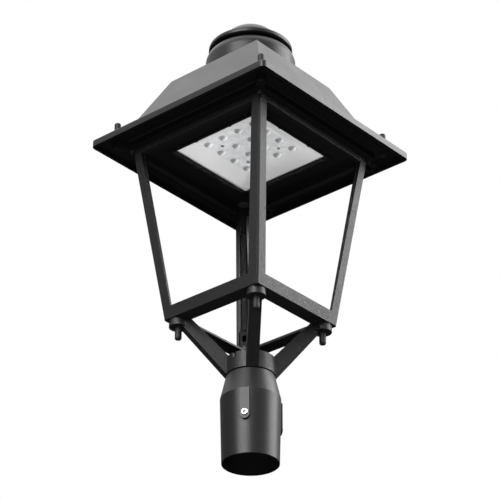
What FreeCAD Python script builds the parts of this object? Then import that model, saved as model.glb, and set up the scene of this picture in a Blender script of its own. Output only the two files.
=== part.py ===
"""Post top lantern: a four-sided lantern head on a post socket, with a hinged roof.

Millimetres. +Z is up, the origin is the centre of the socket's open mouth, and the four
sides of the lantern lie along X and Y. The roof opens about a hinge on the +Y side.
"""
import FreeCAD, Part
import os
import re
import Sketcher

Vector = FreeCAD.Vector
Rotation = FreeCAD.Rotation
Placement = FreeCAD.Placement

# ---------------------------------------------------------------- driving sizes, in mm
SIZES = (
    # post socket
    ("socket_rim_radius", 50.8), ("socket_edge_radius", 53.9), ("socket_edge_height", 121),
    ("socket_top_radius", 43.5), ("socket_height", 165), ("bore_radius", 48),
    ("bore_depth", 116), ("socket_plate", 9), ("seat_radius", 39), ("seat_gap", 2),
    ("wireway_radius", 16), ("pad_width", 16.5), ("pad_distance", 56.6), ("pad_bottom", 62),
    ("pad_turn", 60), ("clamp_height", 74), ("clamp_radius", 6), ("clamp_proud", 1.8),
    ("clamp_clearance", 0.05), ("clamp_bore_gap", 0.3), ("clamp_key_radius", 3.4),
    ("bolt_circle_radius", 27), ("hub_bolt_radius", 4), ("hub_bolt_head_radius", 6.5),
    ("hub_bolt_head_height", 8), ("hub_bolt_key_radius", 3.5), ("clamp_key_depth", 4.8),
    ("clamp_point", 1), ("clamp_bevel", 0.8),
    # shared: how far a feature runs into its neighbour, a bore past its screw, a hole round its screw
    ("run_in", 1), ("bore_end_gap", 0.5), ("bolt_clearance", 0.2),
    # spider
    ("hub_radius", 44.5), ("hub_height", 32), ("hub_wall", 5), ("hub_floor", 8),
    ("notch_width", 6), ("notch_depth", 8), ("arm_root_width", 22), ("arm_tip_width", 16),
    ("arm_root_height", 36), ("arm_tip_reach", 106), ("arm_heel_gap", 0.4),
    ("boss_radius", 17), ("boss_height", 13.8), ("corner_reach", 91),
    # drop studs under the corner bosses
    ("stud_radius", 6.2), ("stud_drop", 23), ("stud_tip_radius", 5.4), ("stud_tip_height", 2),
    ("stud_shank_radius", 4), ("lug_radius", 9), ("lug_height", 12),
    # lantern cage
    ("cage_foot_height", 272.8), ("cage_foot_half", 109.8), ("cage_head_height", 625),
    ("cage_inset", 54.4), ("foot_rail_height", 23), ("head_rail_height", 12.4),
    ("foot_wall", 4.3), ("head_wall", 11), ("ledge_width", 29.3), ("ledge_thickness", 3.5),
    ("ledge_corner_radius", 10), ("leg_foot_width", 21.5), ("leg_head_width", 19),
    ("leg_chamfer", 3.2), ("gusset_width", 13), ("gusset_height", 59), ("gusset_tip", 0.6),
    ("ear_inset", 0.4), ("ear_radius", 5.8), ("ear_thickness", 2.7),
    ("corner_screw_radius", 3), ("corner_head_radius", 5), ("corner_head_height", 5.8),
    ("key_depth", 2.6), ("key_radius", 2.9),
    # cable cover in the back leg
    ("cover_foot_width", 18), ("cover_width", 9), ("cover_thickness", 2), ("cover_foot_height", 40),
    ("cover_lift", 2), ("cover_gap", 0.3), ("entry_radius", 4.5), ("entry_length", 7),
    ("entry_height", 22),
    # gear tray
    ("tray_inset", 42.5), ("tray_corner_radius", 12), ("tray_wall", 3.5), ("tray_floor", 3.5),
    ("tray_rim_height", 12), ("gasket_height", 2), ("window_half", 101.5), ("tray_boss_radius", 6),
    ("tray_boss_height", 9), ("catch_radius", 8.5), ("catch_height", 11.5), ("catch_gap", 1.5),
    ("catch_floor", 4), ("catch_bore_radius", 6.2), ("catch_web_gap", 4.6),
    ("grommet_inset", 28.6), ("grommet_radius", 8), ("grommet_lip", 2.5), ("grommet_bore", 4),
    ("post_gap", 7.5), ("post_radius", 5), ("post_screw_radius", 2),
    # light window
    ("bezel_half", 109.2), ("bezel_inner_half", 99.2), ("bezel_height", 2), ("pane_half", 104.5),
    ("pane_thickness", 4), ("pane_corner_radius", 4), ("pane_gasket_height", 1.5), ("pane_gasket_width", 5),
    ("clip_width", 12), ("clip_length", 10), ("clip_thickness", 1.2), ("clip_overhang", 2),
    ("clip_spread", 82), ("clip_gap", 0.3), ("small_screw_radius", 1.5), ("small_head_radius", 2.8),
    ("small_head_height", 1.6),
    # light engine
    ("reflector_gap", 0.6), ("reflector_height", 11), ("reflector_foot_half", 99),
    ("reflector_head_half", 67), ("reflector_wall", 2),
    ("lens_pitch", 37), ("lens_count", 4), ("lens_radius", 8), ("lens_height", 4.8), ("lens_plate_half", 65),
    ("lens_plate_thickness", 2), ("board_half", 70), ("board_thickness", 1.6), ("chip_half", 1.75),
    ("chip_height", 0.9), ("chip_pocket", 1.2), ("board_screw_grip", 3),
    # heat sink
    ("sink_edge", 6), ("sink_base", 5), ("fin_height", 22), ("fin_thickness", 2.5),
    ("fin_pitch", 15), ("fin_half_length", 92), ("fin_count", 13),
    ("post_screw_head", 3.5), ("post_screw_head_height", 3), ("post_screw_grip", 9),
    ("post_key_radius", 1.8), ("post_key_depth", 1.8),
    # gear on the plate above the fins
    ("standoff_x", 104), ("standoff_y", 84), ("standoff_radius", 4), ("plate_edge", 6),
    ("plate_sheet", 2), ("plate_gap", 2),
    ("driver_length", 145), ("driver_width", 62), ("driver_height", 36), ("driver_offset", 38),
    ("driver_radius", 3), ("driver_ear", 12), ("driver_ear_height", 4), ("gear_screw_radius", 2),
    ("gear_screw_head", 3.6), ("gear_screw_head_height", 2.4),
    ("guard_length", 52), ("guard_width", 34), ("guard_height", 26), ("guard_offset", 48),
    ("terminal_length", 60), ("terminal_width", 22), ("terminal_height", 18),
    ("terminal_way_radius", 2.6), ("terminal_ways", 5), ("terminal_pitch", 11),
    ("terminal_way_height", 6), ("terminal_screw_depth", 7.2), ("gear_screw_grip", 7.3),
    # roof
    ("roof_half", 210), ("roof_corner_radius", 9), ("lip_drop", 10.5), ("flange_thickness", 3.3),
    ("lip_wall", 5), ("slope_inset", 34.3), ("slope_head_half", 106.8), ("slope_height", 138.9),
    ("crown_half", 99), ("crown_height", 2), ("roof_wall", 5), ("cavity_inset", 15.7),
    ("cavity_knee", 30), ("crown_hole_radius", 58),
    ("rib_inset", 22), ("rib_width", 2), ("rib_height", 1.6), ("lip_round", 2), ("hip_round", 1.5),
    # closing screws and corner studs
    ("finial_inset", 34.3), ("finial_radius", 5), ("finial_height", 40), ("finial_dome", 2),
    ("finial_shank_radius", 4), ("finial_hole_gap", 0.3), ("finial_pocket_radius", 8.5),
    ("finial_pocket_height", 36), ("finial_shank_length", 15.2), ("finial_travel", 7),
    ("ring_radius", 5.6), ("ring_thickness", 1.2), ("ring_slack", 0.5),
    ("nut_radius", 7.2), ("nut_height", 4), ("stud_tail", 2),
    # hinge
    ("hinge_inset", 10), ("hinge_drop", 6), ("hinge_spread", 126), ("knuckle_width", 9),
    ("knuckle_radius", 3.8), ("pin_radius", 2.5), ("pin_clearance", 0.05),
    ("pin_length", 17), ("leaf_gap", 0.3), ("leaf_thickness", 2.5), ("leaf_radius", 4),
    ("leaf_plate", 2), ("leaf_plate_front", 10), ("leaf_plate_back", 3), ("leaf_tail", 17),
    ("leaf_screw_x", 12), ("leaf_screw_y", 4), ("leaf_screw_radius", 2), ("leaf_head_radius", 3.4),
    ("leaf_head_height", 2.2), ("leaf_screw_grip", 2.2), ("leaf_key_radius", 1.6), ("leaf_key_depth", 1.1),
    # chimney
    ("neck_radius", 85.5), ("neck_top_radius", 75.5), ("neck_wall", 3.2), ("neck_straight", 40),
    ("neck_shoulder", 21), ("neck_collar", 4.1), ("neck_gasket_height", 1), ("neck_foot_inner", 66),
    ("neck_foot_height", 6), ("neck_screw_reach", 75), ("neck_screw_radius", 2.5),
    ("neck_screw_head", 4.5), ("neck_screw_head_height", 4), ("neck_top_plate", 4),
    ("brim_radius", 79.6), ("brim_height", 6.7), ("brim_edge_radius", 3.3), ("dome_radius", 57.8),
    ("dome_sink", 6), ("cap_wall", 3), ("cap_boss_radius", 9), ("collar_radius", 62),
    ("tie_radius", 4), ("tie_grip", 20), ("tie_tail", 13), ("tie_nut_radius", 7.5),
    ("tie_nut_height", 6.5), ("tie_washer_radius", 12), ("tie_washer_height", 1.6),
)

# Reaches from the centre line that follow from others, so that pieces that meet keep together.
REACHES = (
    ("tray_half", "roof_half - tray_inset"), ("cage_head_half", "roof_half - cage_inset"),
    ("slope_foot_half", "roof_half - slope_inset"), ("cavity_foot_half", "slope_foot_half - cavity_inset"),
    ("rib_half", "roof_half - rib_inset"), ("hinge_y", "roof_half - hinge_inset"),
    ("grommet_reach", "cage_head_half - grommet_inset"), ("post_reach", "pane_half + post_gap"),
    ("sink_half", "post_reach + sink_edge"),
)

doc = FreeCAD.newDocument("post_top_lantern")
sheet = doc.addObject("Spreadsheet::Sheet", "Sizes")
for row, (alias, size) in enumerate(SIZES + REACHES, start=1):
    sheet.set("A%d" % row, alias)
    sheet.set("B%d" % row, str(size) if row <= len(SIZES) else "=" + size)
    sheet.setAlias("B%d" % row, alias)
doc.recompute()
ALIASES = {alias for alias, size in SIZES + REACHES}

# ---------------------------------------------------------------- levels worked out from them
HUB_BOTTOM = "(socket_height + seat_gap)"
BOSS_BOTTOM = "(cage_foot_height - boss_height)"
BOSS_REACH = "(corner_reach * sqrt(2))"
TAPER = "((cage_head_half - cage_foot_half) / (cage_head_height - cage_foot_height))"
LEDGE_TOP = "(cage_foot_height + ledge_thickness)"
CAVITY_FOOT = "(cage_foot_half + %s * ledge_thickness - foot_wall)" % TAPER
CAVITY_HEAD = "(cage_head_half - head_wall)"
TRAY_BOTTOM = "cage_head_height"
TRAY_FLOOR_TOP = "(cage_head_height + tray_floor)"
TRAY_RIM = "(cage_head_height + tray_rim_height)"
FLANGE_BOTTOM = "(cage_head_height + tray_rim_height + gasket_height)"
FLANGE_TOP = "(%s + flange_thickness)" % FLANGE_BOTTOM
PANE_BOTTOM = "(%s + pane_gasket_height)" % TRAY_FLOOR_TOP
REFLECTOR_BOTTOM = "(%s + pane_thickness + reflector_gap)" % PANE_BOTTOM
BOARD_BOTTOM = "(%s + reflector_height)" % REFLECTOR_BOTTOM
SINK_BOTTOM = "(%s + board_thickness)" % BOARD_BOTTOM
SINK_TOP = "(%s + sink_base)" % SINK_BOTTOM
PLATE_BOTTOM = "(%s + fin_height + plate_gap)" % SINK_TOP
PLATE_TOP = "(%s + plate_sheet)" % PLATE_BOTTOM
SLOPE_TOP = "(%s + slope_height)" % FLANGE_TOP
CROWN_TOP = "(%s + crown_height)" % SLOPE_TOP
HINGE_Z = "(%s - hinge_drop)" % FLANGE_BOTTOM
NECK_BOTTOM = "(%s + neck_gasket_height)" % CROWN_TOP
SHOULDER = "(%s + neck_straight)" % NECK_BOTTOM
NECK_TOP = "(%s + neck_shoulder + neck_collar)" % SHOULDER
BRIM_TOP = "(%s + brim_height)" % NECK_TOP
DOME_CENTRE = "(%s - dome_sink)" % BRIM_TOP
CEILING = "(%s - roof_wall)" % SLOPE_TOP
EAR_REACH = "(cage_head_half - ear_inset)"
FINIAL_REACH = "(roof_half - finial_inset)"
ARM_HEEL = "(%s - stud_radius - arm_heel_gap)" % BOSS_REACH
CATCH_WEB_START = "(%s * sqrt(2) + catch_web_gap)" % EAR_REACH


def formula(text):
    """Turns a formula in plain size names into one that reads the sheet."""
    def read(found):
        word = found.group()
        return "Sizes." + word if word in ALIASES else word
    return re.sub(r"[a-z_]+", read, str(text))


def number(text):
    """The present value of a formula."""
    return float(sheet.evalExpression(formula(text)))


def bind(thing, prop, text):
    thing.setExpression(prop, formula(text))


def put(thing, x, y, z, rotation=None):
    """Places a feature, with its position tied to the sheet."""
    if rotation is not None:
        thing.Placement = Placement(Vector(0, 0, 0), rotation)
    for axis, text in zip("xyz", (x, y, z)):
        bind(thing, "Placement.Base." + axis, text)


TURN_X = Rotation(Vector(0, 1, 0), 90)     # a cylinder then runs along +X
UP = Vector(0, 0, 1)
SUBPARTS = []


# ---------------------------------------------------------------- one helper per kind of step
def new_body(label):
    body = doc.addObject("PartDesign::Body", label)
    body.Label = label
    SUBPARTS.append(body)
    return body


def datum(body, role):
    return [item for item in body.Origin.OriginFeatures if item.Role == role][0]


def box(body, name, low, high, cut=False):
    """A block between two corners."""
    block = body.newObject("PartDesign::%sBox" % ("Subtractive" if cut else "Additive"), name)
    for prop, start, end in zip(("Length", "Width", "Height"), low, high):
        bind(block, prop, "(%s) - (%s)" % (end, start))
    put(block, *low)
    return block


def cylinder(body, name, radius, height, base, rotation=None, cut=False):
    rod = body.newObject("PartDesign::%sCylinder" % ("Subtractive" if cut else "Additive"), name)
    bind(rod, "Radius", radius)
    bind(rod, "Height", height)
    put(rod, *base, rotation=rotation)
    return rod


def hexagon(body, name, radius, height, base, rotation=None, cut=False):
    prism = body.newObject("PartDesign::%sPrism" % ("Subtractive" if cut else "Additive"), name)
    prism.Polygon = 6
    bind(prism, "Circumradius", radius)
    bind(prism, "Height", height)
    put(prism, *base, rotation=rotation)
    return prism


def sketch(body, name, plane, offset="0"):
    """A sketch on one of the body's own planes, moved along the plane's normal."""
    flat = body.newObject("Sketcher::SketchObject", name)
    flat.AttachmentSupport = [(datum(body, plane), "")]
    flat.MapMode = "FlatFace"
    bind(flat, "AttachmentOffset.Base.z", offset)
    return flat


def tie(flat, kind, geometry, point, text):
    index = flat.addConstraint(Sketcher.Constraint(kind, -1, 1, geometry, point, number(text)))
    bind(flat, "Constraints[%d]" % index, text)


def outline(flat, corners):
    """Closes an outline through corners (x, y).

    A corner with four more entries, (x, y, centre x, centre y, kept), starts an arc to the
    next corner, and kept says which coordinate of that next corner is still stated.
    """
    first = flat.GeometryCount
    count = len(corners)
    points = [Vector(number(c[0]), number(c[1]), 0) for c in corners]
    ends = []
    for i, corner in enumerate(corners):
        start, end = points[i], points[(i + 1) % count]
        if len(corner) == 2:
            flat.addGeometry(Part.LineSegment(start, end))
            ends.append((1, 2))
            continue
        centre = Vector(number(corner[2]), number(corner[3]), 0)
        reach = (start - centre).Length
        middle = centre + ((start - centre) + (end - centre)).normalize() * reach
        left_turn = (start - centre).cross(end - centre).z > 0
        flat.addGeometry(Part.Arc(start, middle, end) if left_turn else Part.Arc(end, middle, start))
        ends.append((1, 2) if left_turn else (2, 1))
    for i in range(count):
        after = (i + 1) % count
        flat.addConstraint(Sketcher.Constraint(
            "Coincident", first + i, ends[i][1], first + after, ends[after][0]))
    for i, corner in enumerate(corners):
        before = corners[i - 1]
        kept = before[4] if len(before) > 2 else "xy"
        if "x" in kept:
            tie(flat, "DistanceX", first + i, ends[i][0], corner[0])
        if "y" in kept:
            tie(flat, "DistanceY", first + i, ends[i][0], corner[1])
        if len(corner) > 2:
            tie(flat, "DistanceX", first + i, 3, corner[2])
            tie(flat, "DistanceY", first + i, 3, corner[3])


def square(flat, half):
    outline(flat, [("-(%s)" % half, "-(%s)" % half), (half, "-(%s)" % half),
                   (half, half), ("-(%s)" % half, half)])


def pad(body, name, flat, length, midplane=False):
    """Raises a sketch along its normal, or to both sides of its plane."""
    feature = body.newObject("PartDesign::Pad", name)
    feature.Profile = flat
    bind(feature, "Length", length)
    if midplane:
        feature.Midplane = True
    return feature


def pocket(body, name, flat, length, midplane=False, reverse=False):
    """Cuts a sketch along -normal, along +normal if reversed, or to both sides."""
    feature = body.newObject("PartDesign::Pocket", name)
    feature.Profile = flat
    bind(feature, "Length", length)
    feature.Reversed = reverse
    if midplane:
        feature.Midplane = True
    return feature


def revolve(body, name, flat, axis="V_Axis"):
    feature = body.newObject("PartDesign::Revolution", name)
    feature.Profile = flat
    feature.ReferenceAxis = (flat, [axis])
    feature.Angle = 360
    return feature


def loft(body, name, low, high, cut=False):
    """A straight-sided loft between two sketches."""
    feature = body.newObject("PartDesign::%sLoft" % ("Subtractive" if cut else "Additive"), name)
    feature.Profile = low
    feature.Sections = [high]
    feature.Ruled = True
    return feature


def square_loft(body, name, low_half, low_z, high_half, high_z, cut=False):
    low = sketch(body, name + "_foot", "XY_Plane", low_z)
    square(low, low_half)
    high = sketch(body, name + "_head", "XY_Plane", high_z)
    square(high, high_half)
    return loft(body, name, low, high, cut)


def polar(body, name, features, count):
    """Repeats features about Z. Features that are turned get their pattern right after them."""
    pattern = body.newObject("PartDesign::PolarPattern", name)
    pattern.Originals = features
    pattern.Axis = (datum(body, "Z_Axis"), [""])
    pattern.Angle = 360
    pattern.Occurrences = count
    body.Tip = pattern


def row_of(body, name, features, role, length, count):
    """Repeats features along X or Y."""
    pattern = body.newObject("PartDesign::LinearPattern", name)
    pattern.Originals = features
    pattern.Direction = (datum(body, role), [""])
    bind(pattern, "Length", length)
    bind(pattern, "Occurrences", count)
    body.Tip = pattern


def grid(body, name, features, pitch, count):
    """Repeats features in a square grid along +X and +Y."""
    both = body.newObject("PartDesign::MultiTransform", name)
    both.Originals = features
    steps = []
    for role in ("X_Axis", "Y_Axis"):
        step = body.newObject("PartDesign::LinearPattern", name + "_" + role[0])
        step.Direction = (datum(body, role), [""])
        bind(step, "Length", "(%s - 1) * %s" % (count, pitch))
        bind(step, "Occurrences", count)
        steps.append(step)
    both.Transformations = steps
    body.Tip = both


def dress(body, name, kind, base, prop, size, chosen):
    """Rounds or bevels the edges of the last feature that the test chooses."""
    doc.recompute()
    edges = ["Edge%d" % (i + 1) for i, edge in enumerate(base.Shape.Edges) if chosen(edge)]
    feature = body.newObject("PartDesign::" + kind, name)
    feature.Base = (base, edges)
    bind(feature, prop, size)
    return feature


def is_upright(edge):
    """A straight edge that runs up at a corner, square or leaning alike."""
    if len(edge.Vertexes) < 2:
        return False
    low, high = edge.Vertexes[0].Point, edge.Vertexes[-1].Point
    return abs(high.z - low.z) > 0.9 * (high - low).Length


def rounded_block(body, name, half, radius, bottom, height):
    flat = sketch(body, name + "_outline", "XY_Plane", bottom)
    square(flat, half)
    raised = pad(body, name, flat, height)
    return dress(body, name + "_corners", "Fillet", raised, "Radius", radius, is_upright)


def rounded_square(flat, half, radius):
    """A square outline with round corners."""
    inner = "((%s) - (%s))" % (half, radius)
    corners = []
    for sx, sy in ((1, -1), (1, 1), (-1, 1), (-1, -1)):
        cx, cy = "%d * %s" % (sx, inner), "%d * %s" % (sy, inner)
        on_x = ("%d * (%s)" % (sx, half), cy)
        on_y = (cx, "%d * (%s)" % (sy, half))
        start, end, kept = (on_y, on_x, "y") if sx == -sy else (on_x, on_y, "x")
        corners += [start + (cx, cy, kept), end]
    outline(flat, corners)


# ---------------------------------------------------------------- post socket
# Cast sleeve that drops over the post. Three flat tongues carry the clamping screws.
socket = new_body("post_socket")
profile = sketch(socket, "socket_profile", "XZ_Plane")
outline(profile, [
    ("bore_radius", "0"), ("socket_rim_radius", "0"),
    ("socket_edge_radius", "socket_edge_height"), ("socket_top_radius", "socket_height"),
    ("seat_radius", "socket_height"), ("seat_radius", HUB_BOTTOM),
    ("wireway_radius", HUB_BOTTOM), ("wireway_radius", "socket_height - socket_plate"),
    ("seat_radius - socket_plate / 2", "socket_height - socket_plate"),
    ("bore_radius", "bore_depth")])
revolve(socket, "socket_turned", profile)
tongue_start = "bore_radius + clamp_proud"
tongue_low = "pad_bottom + pad_width / 2"
tongue = box(socket, "tongue", (tongue_start, "-pad_width / 2", tongue_low),
             ("pad_distance", "pad_width / 2", "socket_edge_height"))
polar(socket, "tongues", [tongue], 3)
tongue_end = cylinder(socket, "tongue_end", "pad_width / 2", "pad_distance - (%s)" % tongue_start,
                      (tongue_start, "0", tongue_low), TURN_X)
polar(socket, "tongue_ends", [tongue_end], 3)
clamp_hole = cylinder(socket, "clamp_hole", "clamp_radius + clamp_clearance", "2 * pad_width",
                      ("bore_radius - pad_width / 2", "0", "clamp_height"), TURN_X, cut=True)
polar(socket, "clamp_holes", [clamp_hole], 3)
bolt_hole = cylinder(socket, "bolt_hole", "hub_bolt_radius + bolt_clearance", "2 * socket_plate + seat_gap",
                     ("-bolt_circle_radius", "0", "socket_height - 1.5 * socket_plate"), cut=True)
polar(socket, "bolt_holes", [bolt_hole], 3)
bind(socket, "Placement.Rotation.Angle", "pad_turn")

# Stainless grub screws, flush with the bore when backed out.
for turn, which in enumerate(("1", "2", "3")):
    screw = new_body("clamp_screw_" + which)
    profile = sketch(screw, "clamp_profile_" + which, "XZ_Plane")
    inner_end = "bore_radius + clamp_bore_gap"
    outer_end = "pad_distance + clamp_proud"
    outline(profile, [
        (inner_end, "0"), (inner_end, "clamp_radius - clamp_point"),
        ("%s + clamp_point" % inner_end, "clamp_radius"), ("%s - clamp_bevel" % outer_end, "clamp_radius"),
        (outer_end, "clamp_radius - clamp_bevel"), (outer_end, "0")])
    revolve(screw, "clamp_turned_" + which, profile, "H_Axis")
    hexagon(screw, "clamp_key_" + which, "clamp_key_radius", "2 * clamp_key_depth",
            ("%s - clamp_key_depth" % outer_end, "0", "0"), TURN_X, cut=True)
    bind(screw, "Placement.Rotation.Angle", "pad_turn + %d * 360 / 3" % turn)
    bind(screw, "Placement.Base.z", "clamp_height")

# Cap screws that hold the spider down on the socket's top plate.
bolts = new_body("socket_bolts")
head = cylinder(bolts, "hub_bolt_head", "hub_bolt_head_radius", "hub_bolt_head_height",
                ("bolt_circle_radius", "0", "socket_height - socket_plate - hub_bolt_head_height"))
shank = cylinder(bolts, "hub_bolt_shank", "hub_bolt_radius", "socket_plate + seat_gap + hub_floor + run_in",
                 ("bolt_circle_radius", "0", "socket_height - socket_plate - run_in"))
key = hexagon(bolts, "hub_bolt_key", "hub_bolt_key_radius", "hub_bolt_head_height / 2",
              ("bolt_circle_radius", "0", "socket_height - socket_plate - hub_bolt_head_height"), cut=True)
polar(bolts, "hub_bolts", [head, shank, key], 3)

# ---------------------------------------------------------------- spider
# Cast hub with four rising arms, each ending in a round boss under a cage corner. It is
# drawn with its arms along X and Y and then turned an eighth of a turn.
spider = new_body("spider")
profile = sketch(spider, "hub_profile", "XZ_Plane")
hub_rim = "%s + hub_height" % HUB_BOTTOM
outline(profile, [
    ("wireway_radius", HUB_BOTTOM), ("hub_radius", HUB_BOTTOM), ("hub_radius", hub_rim),
    ("hub_radius - hub_wall", hub_rim), ("hub_radius - hub_wall", "%s + hub_floor" % HUB_BOTTOM),
    ("wireway_radius", "%s + hub_floor" % HUB_BOTTOM)])
revolve(spider, "hub", profile)
arm_start = "hub_radius - hub_wall + run_in"
side = sketch(spider, "arm_side", "XZ_Plane")
outline(side, [
    (arm_start, HUB_BOTTOM), ("hub_radius", HUB_BOTTOM), (ARM_HEEL, BOSS_BOTTOM),
    (BOSS_REACH, BOSS_BOTTOM), (BOSS_REACH, "cage_foot_height"),
    ("arm_tip_reach", "cage_foot_height"), (arm_start, "%s + arm_root_height" % HUB_BOTTOM)])
arm = pad(spider, "arm", side, "arm_root_width", midplane=True)
polar(spider, "arms", [arm], 4)
waist = sketch(spider, "arm_waist", "XY_Plane", HUB_BOTTOM)
for hand in (1, -1):
    outline(waist, [
        ("hub_radius", "%d * arm_root_width / 2" % hand),
        (BOSS_REACH, "%d * arm_tip_width / 2" % hand),
        (BOSS_REACH, "%d * arm_root_width" % hand), ("hub_radius", "%d * arm_root_width" % hand)])
arm_taper = pocket(spider, "arm_taper", waist, "cage_foot_height - %s + boss_height" % HUB_BOTTOM,
                   reverse=True)
boss = cylinder(spider, "corner_boss", "boss_radius", "boss_height", (BOSS_REACH, "0", BOSS_BOTTOM))
boss_hole = cylinder(spider, "corner_boss_hole", "stud_shank_radius + bolt_clearance", "3 * boss_height",
                     (BOSS_REACH, "0", "%s - boss_height" % BOSS_BOTTOM), cut=True)
polar(spider, "arm_ends", [arm_taper, boss, boss_hole], 4)
hub_hole = cylinder(spider, "hub_hole", "hub_bolt_radius + bolt_clearance", "3 * hub_floor",
                    ("bolt_circle_radius * cos(45)", "-bolt_circle_radius * sin(45)",
                     "%s - hub_floor" % HUB_BOTTOM), cut=True)
polar(spider, "hub_holes", [hub_hole], 3)
notch = spider.newObject("PartDesign::SubtractiveBox", "drain_notch")
bind(notch, "Length", "3 * hub_wall")
bind(notch, "Width", "notch_width")
bind(notch, "Height", "2 * notch_depth")
put(notch, "(hub_radius - 2 * hub_wall) * cos(225) + notch_width / 2 * sin(225)",
    "(hub_radius - 2 * hub_wall) * sin(225) - notch_width / 2 * cos(225)",
    "%s - notch_depth" % hub_rim, Rotation(UP, 225))
bind(spider, "Placement.Rotation.Angle", "45")

# Studs that pull the cage down on the bosses. Their plain ends hang in view.
studs = new_body("cage_studs")
lug_top = "%s + lug_height" % LEDGE_TOP
stud_end = "%s - stud_drop" % BOSS_BOTTOM
stud_step = "stud_drop - stud_tip_height"
tip = cylinder(studs, "stud_tip", "stud_tip_radius", "stud_tip_height", (BOSS_REACH, "0", stud_end))
collar = cylinder(studs, "stud_collar", "stud_radius", stud_step,
                  (BOSS_REACH, "0", "%s + stud_tip_height" % stud_end))
shank = cylinder(studs, "stud_shank", "stud_shank_radius", "%s - %s" % (lug_top, BOSS_BOTTOM),
                 (BOSS_REACH, "0", BOSS_BOTTOM))
polar(studs, "four_studs", [tip, collar, shank], 4)
bind(studs, "Placement.Rotation.Angle", "45")

# ---------------------------------------------------------------- lantern cage
# One casting: an angle-section foot rail, four leaning L-section legs and a head rail.


def cavity_half(level):
    """Half width of the cage's inside at a level."""
    return ("(%s + (%s - %s) * (%s - %s) / (cage_head_height - %s))"
            % (CAVITY_FOOT, CAVITY_HEAD, CAVITY_FOOT, level, LEDGE_TOP, LEDGE_TOP))


def bevelled_square(flat, half):
    """A square outline with its corners cut off by the leg chamfer."""
    far, near = "(%s)" % half, "(%s - leg_chamfer)" % half
    outline(flat, [("-" + near, "-" + far), (near, "-" + far), (far, "-" + near), (far, near),
                   (near, far), ("-" + near, far), ("-" + far, near), ("-" + far, "-" + near)])


cage = new_body("lantern_cage")
foot = sketch(cage, "cage_foot", "XY_Plane", "cage_foot_height")
bevelled_square(foot, "cage_foot_half")
head = sketch(cage, "cage_head", "XY_Plane", "cage_head_height")
bevelled_square(head, "cage_head_half")
loft(cage, "cage_block", foot, head)
square_loft(cage, "cage_inside", CAVITY_FOOT, LEDGE_TOP, CAVITY_HEAD, "cage_head_height", cut=True)
opening = sketch(cage, "ledge_opening", "XY_Plane", "cage_foot_height")
rounded_square(opening, "cage_foot_half - ledge_width", "ledge_corner_radius")
pocket(cage, "ledge_cut", opening, "ledge_thickness", reverse=True)
window_low = "(cage_foot_height + foot_rail_height)"
window_high = "(cage_head_height - head_rail_height)"
window_low_half = "(cage_foot_half + %s * foot_rail_height - leg_foot_width)" % TAPER
window_high_half = "(cage_head_half - %s * head_rail_height - leg_head_width)" % TAPER
for plane in ("XZ_Plane", "YZ_Plane"):
    window = sketch(cage, "window_" + plane[:2], plane)
    outline(window, [("-" + window_low_half, window_low), (window_low_half, window_low),
                     (window_high_half, window_high), ("-" + window_high_half, window_high)])
    pocket(cage, "windows_" + plane[:2], window, "3 * cage_head_half", midplane=True)
gusset_foot = "(cage_head_height - gusset_height)"
gusset_ends = []
for level, leg in ((gusset_foot, "gusset_tip"), ("cage_head_height", "gusset_width")):
    corner = "(%s + gusset_tip)" % cavity_half(level)
    back = "(%s - %s - gusset_tip)" % (corner, leg)
    wedge = sketch(cage, "gusset_%d" % len(gusset_ends), "XY_Plane", level)
    outline(wedge, [(corner, back), (corner, corner), (back, corner)])
    gusset_ends.append(wedge)
gusset = loft(cage, "gusset", *gusset_ends)
ear = cylinder(cage, "corner_ear", "ear_radius", "ear_thickness",
               (EAR_REACH, EAR_REACH, "cage_head_height - ear_thickness"))
relief = cylinder(cage, "corner_relief", "ear_radius", "3 * corner_head_height",
                  (EAR_REACH, EAR_REACH, "cage_head_height - ear_thickness - 3 * corner_head_height"),
                  cut=True)
ear_hole = cylinder(cage, "corner_ear_hole", "corner_screw_radius + bolt_clearance", "2 * ear_thickness",
                    (EAR_REACH, EAR_REACH, "cage_head_height - 1.5 * ear_thickness"), cut=True)
lug = cylinder(cage, "stud_lug", "lug_radius", "lug_height", ("corner_reach", "corner_reach", LEDGE_TOP))
lug_hole = cylinder(cage, "stud_lug_hole", "stud_shank_radius + bolt_clearance", "2 * lug_height",
                    ("corner_reach", "corner_reach", "%s - lug_height / 2" % LEDGE_TOP), cut=True)
polar(cage, "corners", [gusset, relief, ear, ear_hole, lug, lug_hole], 4)

# Cap screws at the outer corners, driven upwards into the gear tray.
corner_screws = new_body("cage_top_screws")
head_bottom = "(cage_head_height - ear_thickness - corner_head_height)"
head = cylinder(corner_screws, "corner_screw_head", "corner_head_radius", "corner_head_height",
                (EAR_REACH, EAR_REACH, head_bottom))
shank = cylinder(corner_screws, "corner_screw_shank", "corner_screw_radius",
                 "ear_thickness + tray_boss_height + run_in",
                 (EAR_REACH, EAR_REACH, "cage_head_height - ear_thickness - run_in"))
key = hexagon(corner_screws, "corner_screw_key", "key_radius", "key_depth",
              (EAR_REACH, EAR_REACH, head_bottom), cut=True)
polar(corner_screws, "four_corner_screws", [head, shank, key], 4)

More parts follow.
